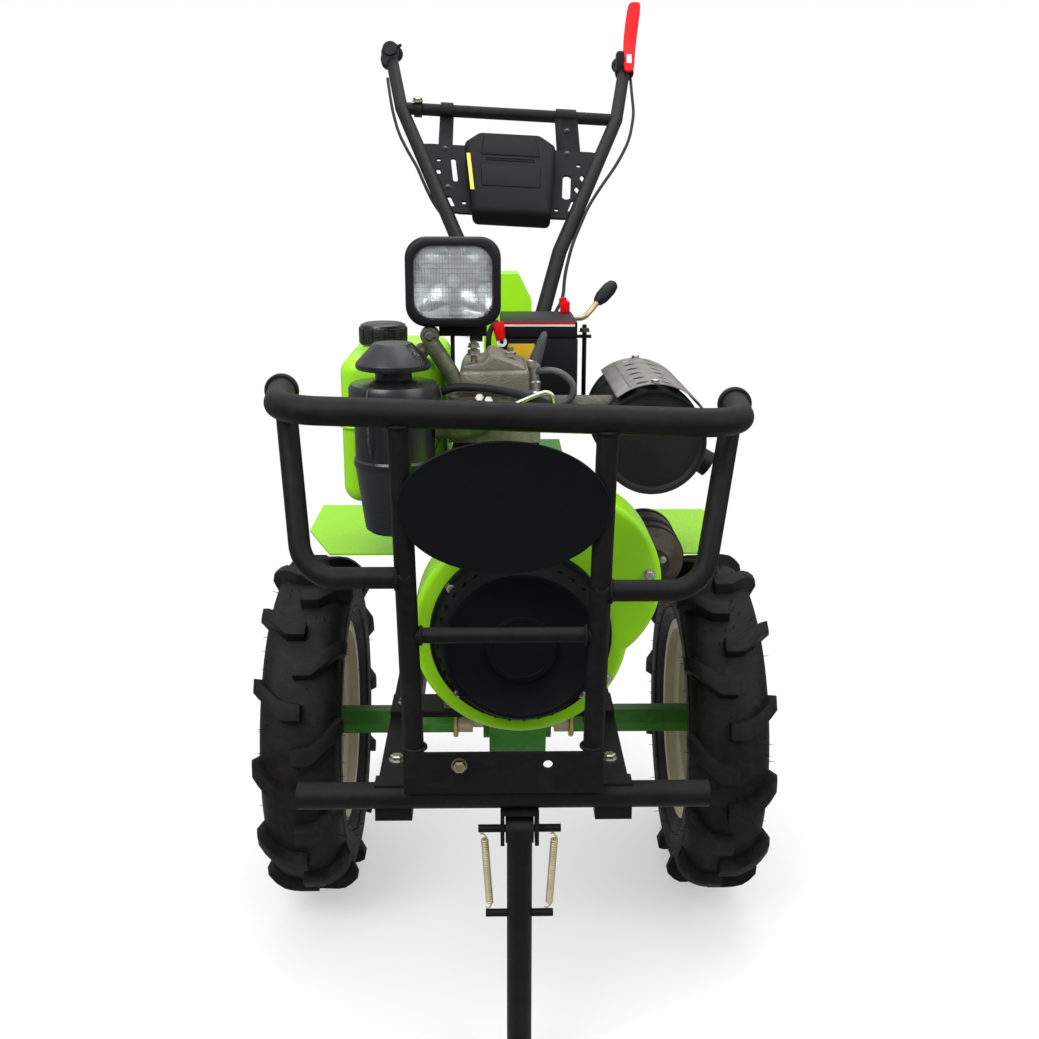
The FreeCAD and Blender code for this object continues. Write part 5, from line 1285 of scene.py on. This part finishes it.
# ---------------------------------------------------------------- battery and lamp
@dataclass
class Electrics:
    """The battery on its tray and the square headlamp."""

    lid_z: float = 916.0
    case_top: float = 941.0
    lamp_x: float = -84.0
    lamp_z: float = 1013.0
    lamp_front: float = -255.0

    def battery(self) -> None:
        """Builds the battery's case, lid, bands, posts and boots."""
        paint_nodes(POWDER, "battery_tray")
        low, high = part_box("battery")
        lid, top = self.lid_z / 1000, self.case_top / 1000
        shape = box(low, Vector((high.x, high.y, lid)), 3)
        shape = box(Vector((low.x + 0.001, low.y - 0.0015, lid)),
                    Vector((high.x - 0.001, high.y + 0.0015, top)), 3, shape)
        made_piece("battery_case", shape, PLASTIC, replaces="battery")
        for name, finish, proud, z0, z1 in (
                ("red", RED, 0.0022, 0.9355, 0.9395), ("white", WHITE, 0.0024, 0.9335, 0.9365)):
            band = box(Vector((low.x + 0.003, low.y - proud, z0)),
                       Vector((high.x - 0.005, low.y - 0.0014, z1)), 0.2)
            made_piece(f"battery_{name}_band", band, finish)
        made_piece("battery_yellow_film", box((-10, -52.6, 872), (30, -51.9, 908), 0.2), YELLOW)
        profile = [(0, 0), (8, 0), (8.8, 4), (8.6, 14), (6.6, 26), (0, 27)]
        made_piece("terminal_boot_1", lathe(profile, (-24, -50, 939), (0.12, -0.25, -1), 28), RED)
        eye = lathe([(3, 0), (7.5, 0), (7.5, 1.6), (3, 1.6), (3, 0)], (-19, -57, 911), (0, -1, 0.2), 28)
        made_piece("terminal_eye", eye, WHITE)
        back = box((75, 73, 940), (90, 88, 959), 3)
        back = lathe([(0, 0), (6.8, 0), (6, 8), (0, 9)], (80, 80, 956), (-0.2, 0, 1), 24, back)
        made_piece("terminal_boot_2", back, RED)
        lead = rope([(-24, -49, 940), (-36, -52, 934), (-40, -58, 906), (-36, -60, 870), (-30, -58, 830),
                     (-26, -56, 790)], 4.2)
        made_piece("battery_lead", lead, RUBBER)
        bolt_piece("hold_down_nut", [((110, 23, 917), UP, 7.2)], IRON)

    def by_lamp(self, across: float, back: float, up: float) -> Vector:
        """A place by its distances from the middle of the lamp's front."""
        return at(self.lamp_x + across, self.lamp_front + back, self.lamp_z + up)

    def loft(self, rings: Sequence[tuple[float, float, float, float]]) -> bmesh.types.BMesh:
        """A skin through rounded-square rings, the last of which is filled.

        Args:
            rings: Width, height, corner radius and distance behind the lamp's front.

        Returns:
            The mesh.
        """
        shape = bmesh.new()
        made = [[shape.verts.new(self.by_lamp(u, back, v)) for u, v in rectangle(width, height, corner, 8)]
                for width, height, corner, back in rings]
        skin(shape, made)
        shape.faces.new(made[-1])
        return shape

    def lamp(self) -> None:
        """Builds the lamp's housing, reflector, bulb and fluted lens."""
        paint_nodes(POWDER, "lamp_stem")
        outer = [(103, 93, 24, 12), (104, 94, 24, 3), (106, 96, 24.5, 0.4), (115, 105, 26, 0),
                 (121, 111, 26.5, 1), (125, 115, 27, 4), (126, 116, 27, 9), (126, 116, 27, 26),
                 (121, 111, 26, 29), (116, 106, 25, 46), (92, 84, 22, 68), (70, 62, 20, 78)]
        made_piece("lamp_shell", self.loft(outer), PLASTIC, replaces="lamp_housing", angle=40.0)
        bowl = [(103, 93, 24, 6), (98, 88, 23, 14), (84, 76, 24, 26), (60, 56, 24, 38), (30, 30, 14.5, 46)]
        made_piece("lamp_reflector", self.loft(bowl), MIRROR, angle=60.0)
        bulb = lathe([(0, 0), (8, 2), (9, 12), (6, 20), (0, 23)], self.by_lamp(0, 44, 0), FORWARD, 24)
        made_piece("lamp_bulb", bulb, WHITE, angle=60.0)
        self.lens()
        plate = box((-104, -232, 941), (-40, -200, 944), 1)
        plate = box((-104, -234, 941), (-40, -231, 957), 1, plate)
        made_piece("lamp_bracket", plate, POWDER)

    def lens(self) -> None:
        """Builds the pressed lens with its flutes and bars."""
        across, up, corner, columns, rows = 103, 93, 24, 120, 72
        shape, grid = bmesh.new(), []
        for j in range(rows + 1):
            v = (j / rows - 0.5) * up
            line = []
            for i in range(columns + 1):
                u = (i / columns - 0.5) * across
                past = max(abs(u) - (across / 2 - corner), 0), max(abs(v) - (up / 2 - corner), 0)
                over = math.hypot(*past)
                pull = corner / over if over > corner else 1.0
                pu = math.copysign(across / 2 - corner + past[0] * pull, u) if past[0] else u
                pv = math.copysign(up / 2 - corner + past[1] * pull, v) if past[1] else v
                dome = 2.4 * (1 - (2 * u / across) ** 2) * (1 - (2 * v / up) ** 2)
                flute = 0.6 * (abs(math.sin(math.pi * u / 4.9)) + abs(math.sin(math.pi * v / 7.3)))
                line.append(shape.verts.new(self.by_lamp(pu, 6.2 - dome - flute, pv)))
            grid.append(line)
        skin(shape, grid, closed=False)
        thicken(made_piece("fluted_lens", shape, GLASS, replaces="lamp_lens", angle=30.0), 1.8, -1)

    def dress(self) -> None:
        """Dresses the battery and the lamp."""
        self.battery()
        self.lamp()


# ---------------------------------------------------------------- handlebar, gear lever and stand
@dataclass
class Handlebar:
    """The arms, grips, lever, panel and cables."""

    centre_x: float = 1.0
    skew: float = 0.0909
    slope: float = 33.7
    knee: Point = (340.0, 1022.0)
    run: float = 456.0
    bar_y: float = 719.4
    bar_z: float = 1275.0
    bar_fall: float = 0.0505
    grip: float = 18.0
    grip_half: float = 53.5

    def plane(self, lift: float = 0.0) -> Matrix:
        """The arms' own plane: X across, Y up along the arms, Z out of the panel's face.

        Args:
            lift: How far it is above the arms.

        Returns:
            Its place; its origin is at the crossbar.
        """
        angle = math.radians(self.slope)
        y, z = self.knee[0] + self.run * math.cos(angle), self.knee[1] + self.run * math.sin(angle)
        return placed((self.centre_x, y, z), (self.slope, "X")) @ Matrix.Translation((0, 0, lift / 1000))

    def hung(self, outline: Iterable[Point]) -> list[Point]:
        """Places across from the middle and down from the skewed crossbar, in the plane's own X and Y."""
        return [(u, -v - u * self.skew) for u, v in outline]

    def plate(self, outline: Iterable[Point], depth: float, lift: float, bevel: float = 0.0,
              into: Optional[bmesh.types.BMesh] = None) -> bmesh.types.BMesh:
        """A plate that lies in the arms' plane.

        Args:
            outline: Its corners, across from the middle and down from the crossbar.
            depth: Its thickness.
            lift: How far it is above the plane.
            bevel: Width of its softened edges.
            into: A mesh to add it to.

        Returns:
            The mesh.
        """
        return slab(self.hung(outline), depth, self.plane(lift), bevel, into)

    def slot(self, high: Point, low: Point, width: float) -> list[Point]:
        """A round-ended slot's outline.

        Args:
            high: Its upper end, across and down from the crossbar.
            low: Its lower end.
            width: Its width.

        Returns:
            The outline.
        """
        half, lengthwise = width / 2, math.atan2(low[1] - high[1], low[0] - high[0])
        ends = ((low, lengthwise - math.pi / 2), (high, lengthwise + math.pi / 2))
        return [(u + half * math.cos(start + math.pi * k / 8), v + half * math.sin(start + math.pi * k / 8))
                for (u, v), start in ends for k in range(9)]

    def web(self) -> None:
        """Cuts the slots, round holes and diamonds through the bracket's plate and its edge strips."""
        outlines = [self.slot(*sizes) for sizes in (
            ((-110, 176), (-104, 246), 9), ((-138, 179), (-138, 181), 9), ((-138, 214), (-136, 224), 8),
            ((-115, 303), (-108, 327), 8), ((-87, 316), (-87, 318), 9), ((132, 174), (132, 176), 9),
            ((117, 295), (109, 323), 8), ((108, 217), (104, 282), 15), ((84, 323), (84, 325), 8))]
        outlines += [[(u, v - 13), (u + 6, v), (u, v + 13), (u - 6, v)] for u, v in ((137, 216), (125, 255))]
        cutter = bmesh.new()
        for outline in outlines:
            self.plate(outline, 12, -6, 0.0, cutter)
        tool = shown("holes", baked(cutter))
        node = bpy.data.objects["panel_bracket"]
        sheet = node.data.copy()
        sheet.transform(node.matrix_world)
        edges = None
        for side in (-1, 1):
            corners = [(side * 96, 349), (side * 115, 349), (side * 178, 127), (side * 161, 127)]
            edges = self.plate(corners[::-side], 3.8, -1.9, 0.0, edges)
        for name, mesh, replaces in (("cut_web", sheet, "panel_bracket"), ("web_edges", baked(edges), "")):
            whole = shown("whole", mesh)
            cut = whole.modifiers.new("cut", "BOOLEAN")
            cut.operation, cut.object = "DIFFERENCE", tool
            made_piece(name, evaluated(whole), MATT_BLACK, HANDLEBAR, replaces, 30.0)
        bpy.data.objects.remove(tool)

    def panel(self) -> None:
        """Builds the moulded control panel with its ribs and its bare face."""
        outline = [(-70, 391), (70, 391), (88, 166), (60, 132), (-60, 132), (-88, 166)]
        shape = self.plate(outline, 38, 2.2, 10)
        for corners in ([(-50, 148), (50, 148), (56, 214), (-56, 214)],
                        [(-56, 246), (56, 246), (54, 316), (-54, 316)]):
            shape = self.plate(corners[::-1], 3, 38.6, 2.2, shape)
        made_piece("panel_moulding", shape, MATT_BLACK, HANDLEBAR, replaces="control_panel")
        rib = self.plate([(-46, 232), (46, 232), (46, 229), (-46, 229)], 2.2, 39.2, 0.7)
        step = self.plane().to_3x3() @ Vector((0, 0.007, 0))
        made_piece("panel_ribs", along().grow(rib, MATT_BLACK, Count=2, Step=step), MATT_BLACK, HANDLEBAR)
        strip = self.plate([(-74, 330), (-67, 330), (-76, 212), (-83, 212)], 0.6, 40.0, 0.2)
        made_piece("panel_yellow_strip", strip, YELLOW, HANDLEBAR)

    def bracket_bolts(self) -> None:
        """Adds the bolts of the web, the straps, the crossbar and the pivot."""
        turn = self.plane(2.0)
        facing = turn.to_3x3() @ Vector(UP)
        rows = [(turn @ Vector((u / 1000, v / 1000, 0)), facing, 4.5)
                for u, v in self.hung([(115, 54), (-126, 140), (-118, 270), (112, 136)])]
        bolt_piece("bracket_bolts", rows, IRON, HANDLEBAR)
        wraps = None
        for across, half in ((115, 21), (-126, 13), (-184, 8)):
            place = (self.centre_x + across, self.bar_y, self.bar_z - across * self.bar_fall)
            wraps = collar(12.2, 16, half, half * 0.04, place, (436, 0, -22), 40, wraps)
        made_piece("bar_wraps", wraps, POWDER, HANDLEBAR)
        pivot = [((-8 + side * 66.5, 205, 900), (side, 0, 0), 12.5) for side in (-1, 1)]
        bolt_piece("pivot_nuts", pivot, ZINC, HANDLEBAR)
        bolt_piece("bar_clamp_bolt", [((-183, 712, 1299), (0, -0.3, 1), 9.2)], ZINC, HANDLEBAR)

    def grips(self) -> None:
        """Builds the ribbed grips and the switch on the left one."""
        rise, r = math.radians(5), self.grip
        axis = Vector((0, math.cos(rise), math.sin(rise)))
        profile = [(14.6, 0), (r + 4, 0), (r + 4.5, 3), (r + 1, 7), (r - 1, 12)]
        for k in range(9):
            y = 16 + k * 9.5
            profile += [(r - 1, y), (r, y + 2), (r, y + 6), (r - 1, y + 8)]
        profile += [(r, 102), (r - 1, 106), (r - 6, 108.5), (0, 109)]
        for side in Side:
            low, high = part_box("grip_" + side.word)
            sleeve = lathe(profile, (low + high) / 2 - axis * self.grip_half / 1000, axis, 64)
            made_piece("grip_sleeve_" + side.word, sleeve, RUBBER, HANDLEBAR, replaces="grip_" + side.word)
        self.pod()

    def pod(self) -> None:
        """Builds the switch at the foot of the left grip."""
        ahead = (0, -0.96, 0.28)
        barrel = [(0, 0), (14, 0), (16, 3), (16.5, 10), (16.5, 34), (14.5, 38), (0, 38)]
        foot = [(0, 0), (16, 0), (18, 2), (18, 20), (16, 23), (0, 23)]
        pod = lathe(barrel, (-249, 900, 1404.5), ahead, 40)
        pod = lathe(foot, (-251.5, 884, 1388), ahead, 40, pod)
        pod = box((-267, 866, 1386), (-238, 892, 1412), 5, pod)
        pod = lathe([(0, 0), (3.5, 0), (3.5, 18), (0, 20)], (-242, 868, 1413), (1, -0.1, 0.5), 16, pod)
        made_piece("switch_pod", pod, PLASTIC, HANDLEBAR)
        dot = lathe([(0, 0), (3, 0), (2.6, 0.8), (0, 0.9)], (-257, 864.8, 1405), (0, -1, 0.1), 20)
        made_piece("switch_dot", dot, WHITE, HANDLEBAR)

    def lever(self) -> None:
        """Builds the red clutch lever, by places, half widths and half depths, with its clamp."""
        stations = [((256, 842, 1366), 10, 4), ((258, 866, 1384), 11.5, 4), ((260, 893, 1403), 13, 4.5),
                    ((264, 928, 1418), 13.5, 5), ((269, 960, 1450), 14.5, 5), ((276, 992, 1488), 15, 4.5),
                    ((283, 1022, 1522), 14.5, 4), ((285, 1030, 1530), 11, 2.5)]
        path = [at(*place) for place, _, _ in stations]
        right = Vector(RIGHT)
        shape, rings = bmesh.new(), []
        for k, (_, wide, deep) in enumerate(stations):
            normal = (path[min(k + 1, len(path) - 1)] - path[max(k - 1, 0)]).cross(right).normalized()
            rings.append([shape.verts.new(path[k] + right * u * wide / 1000 + normal * v * deep / 1000)
                          for u, v in rectangle(2, 2, 0.7, 3)])
        skin(shape, rings)
        for ring in (rings[0], rings[-1]):
            shape.faces.new(ring)
        piece = made_piece("lever_blade", shape, RED, HANDLEBAR, replaces="clutch_lever", angle=60.0)
        soft = piece.modifiers.new("soft", "SUBSURF")
        soft.levels = soft.render_levels = 1
        ahead = Vector((2, 27, 19)).normalized()
        turn = placed((259, 878, 1393)) @ Matrix((right, ahead, right.cross(ahead))).transposed().to_4x4()
        patch = slab(rectangle(10, 34), 1.2, turn @ Matrix.Translation((0, 0, 0.0042)), 0.3)
        made_piece("lever_patch", patch, WHITE, HANDLEBAR)
        rise = 0.588
        clamp = collar(13.5, 20, 12, 2, (249.5, 884, 1373), (0, math.cos(rise), math.sin(rise)), 40)
        clamp = box((232, 866, 1368), (248, 902, 1412), 5, clamp)
        made_piece("lever_clamp", clamp, PLASTIC, HANDLEBAR)

    def dress(self) -> None:
        """Dresses the handlebar."""
        paint_nodes(POWDER, "handlebar_left", "handlebar_right", "handlebar_crossbar")
        paint_nodes(RUBBER, "cable_left", "cable_right")
        self.web()
        self.panel()
        self.bracket_bolts()
        self.grips()
        self.lever()


@dataclass
class Controls:
    """The gear lever and the stand."""

    rod: float = 4.6
    wire: float = 1.45
    spring_radius: float = 3.6
    turns: float = 28.0

    def gear_lever(self) -> None:
        """Builds the steel rod and its black knob."""
        points = [(30, 178, 921), (106, 178, 921), (120, 178, 922), (129, 182, 930), (147, 198, 950)]
        made_piece("gear_rod", rope(points, self.rod), YELLOW_ZINC, replaces="gear_lever")
        profile = [(0, 0), (6.5, 0), (8.5, 3), (11.8, 14), (12, 36), (9.5, 47), (5, 51.5), (0, 52)]
        made_piece("gear_knob", lathe(profile, (143, 194, 946), (23, 20, 22), 40), PLASTIC)

    def stand(self) -> None:
        """Builds the stand's springs between their bars, closer together at the foot."""
        paint_nodes(POWDER, "stand_leg")
        low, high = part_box("stand_springs")
        radius, wires = self.spring_radius / 1000, []
        for side in (-1, 1):
            top = Vector((side * 0.044, high.y - 0.005, high.z - 0.010))
            foot = Vector((side * 0.038, low.y + 0.005, low.z + 0.010))
            down = (foot - top).normalized()
            wires.append(coil().grow(bpy.data.meshes.new("none"), TAN_ZINC, Turns=self.turns, Radius=radius,
                                     Wire=self.wire / 1000, Length=(foot - top).length, Start=top,
                                     Turn=down.to_track_quat("Z", "Y").to_euler()))
            for end, away in ((top, -down), (foot, down)):
                hook = [end + away * reach + Vector((x, 0, 0)) for x, reach in (
                    (radius, 0), (0.002, 0.003), (0, 0.006), (-0.003, 0.0085), (-0.005, 0.0065))]
                wires.append(rope(hook, 1))
        made_piece("stand_spring_wire", joined(*wires), TAN_ZINC, STAND, replaces="stand_springs",
                   angle=80.0)

    def dress(self) -> None:
        """Dresses the gear lever and the stand."""
        self.gear_lever()
        self.stand()


# ---------------------------------------------------------------- the whole
@dataclass
class Studio:
    """The floor, the light and the camera; its places are in metres in the model's frame."""

    lens: float = 41.58
    sensor: float = 36.0
    eye: tuple[float, float, float] = (-0.0295, -2.0926, 1.136)
    yaw: float = 0.0210
    pitch: float = 0.2716
    roll: float = 0.0028
    aim: tuple[float, float, float] = (0, -0.1, 0.7)

    def floor(self) -> None:
        """Lays a pale floor that keeps the machine's shadow."""
        shape = bmesh.new()
        bmesh.ops.create_grid(shape, x_segments=1, y_segments=1, size=12)
        floor = shown("floor", baked(shape, outward=False))
        shader = Shader("pale_floor")
        away = shader.add("ShaderNodeVectorMath", {0: shader.place}, "Value", operation="LENGTH")
        fade = shader.spread(away, 0.55, 1.5, 0.45, 1.0)
        seen = shader.add("ShaderNodeLightPath", {}, "Is Camera Ray")
        strength = shader.spread(seen, 0.0, 1.0, 0.25, 1.0)
        glow = shader.add("ShaderNodeEmission", {"Color": (1, 1, 1), "Strength": strength})
        shader.feed(shader.surface, {"Base Color": (0.86, 0.86, 0.86), "Roughness": 0.9})
        mix = shader.add("ShaderNodeMixShader", {0: fade, 1: shader.surface.outputs[0], 2: glow})
        shader.feed(shader.tree.nodes["Material Output"], {"Surface": mix})
        floor.data.materials.append(shader.material)

    def sky(self) -> None:
        """Sets a world that is dim at the horizon, bright above, and white where it is seen."""
        world = bpy.data.worlds.new("studio")
        bpy.context.scene.world = world
        world.use_nodes = True
        tree = Tree(world.node_tree)
        ray = tree.add("ShaderNodeTexCoord", {}, "Generated")
        height = tree.spread(tree.add("ShaderNodeSeparateXYZ", {0: ray}, 2), -0.2, 0.9, 0.20, 1.05)
        path = tree.add("ShaderNodeLightPath", {}).node.outputs
        seen = tree.arithmetic("MAXIMUM", path["Is Camera Ray"], path["Is Transmission Ray"])
        tree.feed(tree.tree.nodes["Background"], {0: (1, 1, 1), 1: tree.spread(seen, 0.0, 1.0, height, 1.0)})

    def lamp(self, name: str, place: tuple[float, float, float], size: float, power: float) -> None:
        """Hangs a soft area lamp that looks at the machine.

        Args:
            name: The lamp's name.
            place: Where it hangs.
            size: Its width.
            power: Watts.
        """
        light = bpy.data.lights.new(name, "AREA")
        light.size, light.energy = size, power
        lamp = shown(name, light)
        lamp.location = place
        lamp.rotation_euler = (Vector(self.aim) - Vector(place)).to_track_quat("-Z", "Y").to_euler()

    def camera(self) -> None:
        """Sets the camera at the machine's nose, a little above the guard."""
        data = bpy.data.cameras.new("camera")
        data.lens, data.sensor_width = self.lens, self.sensor
        camera = shown("camera", data)
        ahead = Vector((math.sin(self.yaw) * math.cos(self.pitch), math.cos(self.yaw) * math.cos(self.pitch),
                        -math.sin(self.pitch)))
        camera.location = self.eye
        camera.rotation_mode = "QUATERNION"
        camera.rotation_quaternion = ahead.to_track_quat("-Z", "Y") @ Quaternion((0, 0, 1), self.roll)
        bpy.context.scene.camera = camera

    def build(self) -> None:
        """Builds the studio."""
        bpy.context.scene.view_settings.view_transform = "Standard"
        self.floor()
        self.sky()
        self.lamp("key", (-1.5, -2.4, 2.9), 1.8, 76)
        self.lamp("fill", (2.2, -1.9, 2.3), 2.0, 34)
        self.lamp("top", (0.2, 0.3, 3.2), 2.4, 40)
        self.camera()


def main() -> None:
    """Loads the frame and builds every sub-assembly on it."""
    logging.basicConfig(level=logging.INFO, format="%(message)s")
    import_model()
    Studio().build()
    for side in Side:
        Wheel(side).dress()
    for assembly in (Chassis(), Guard(), Engine(), Breathing(), Electrics(), Handlebar(), Controls()):
        assembly.dress()


if __name__ == "__main__":
    main()
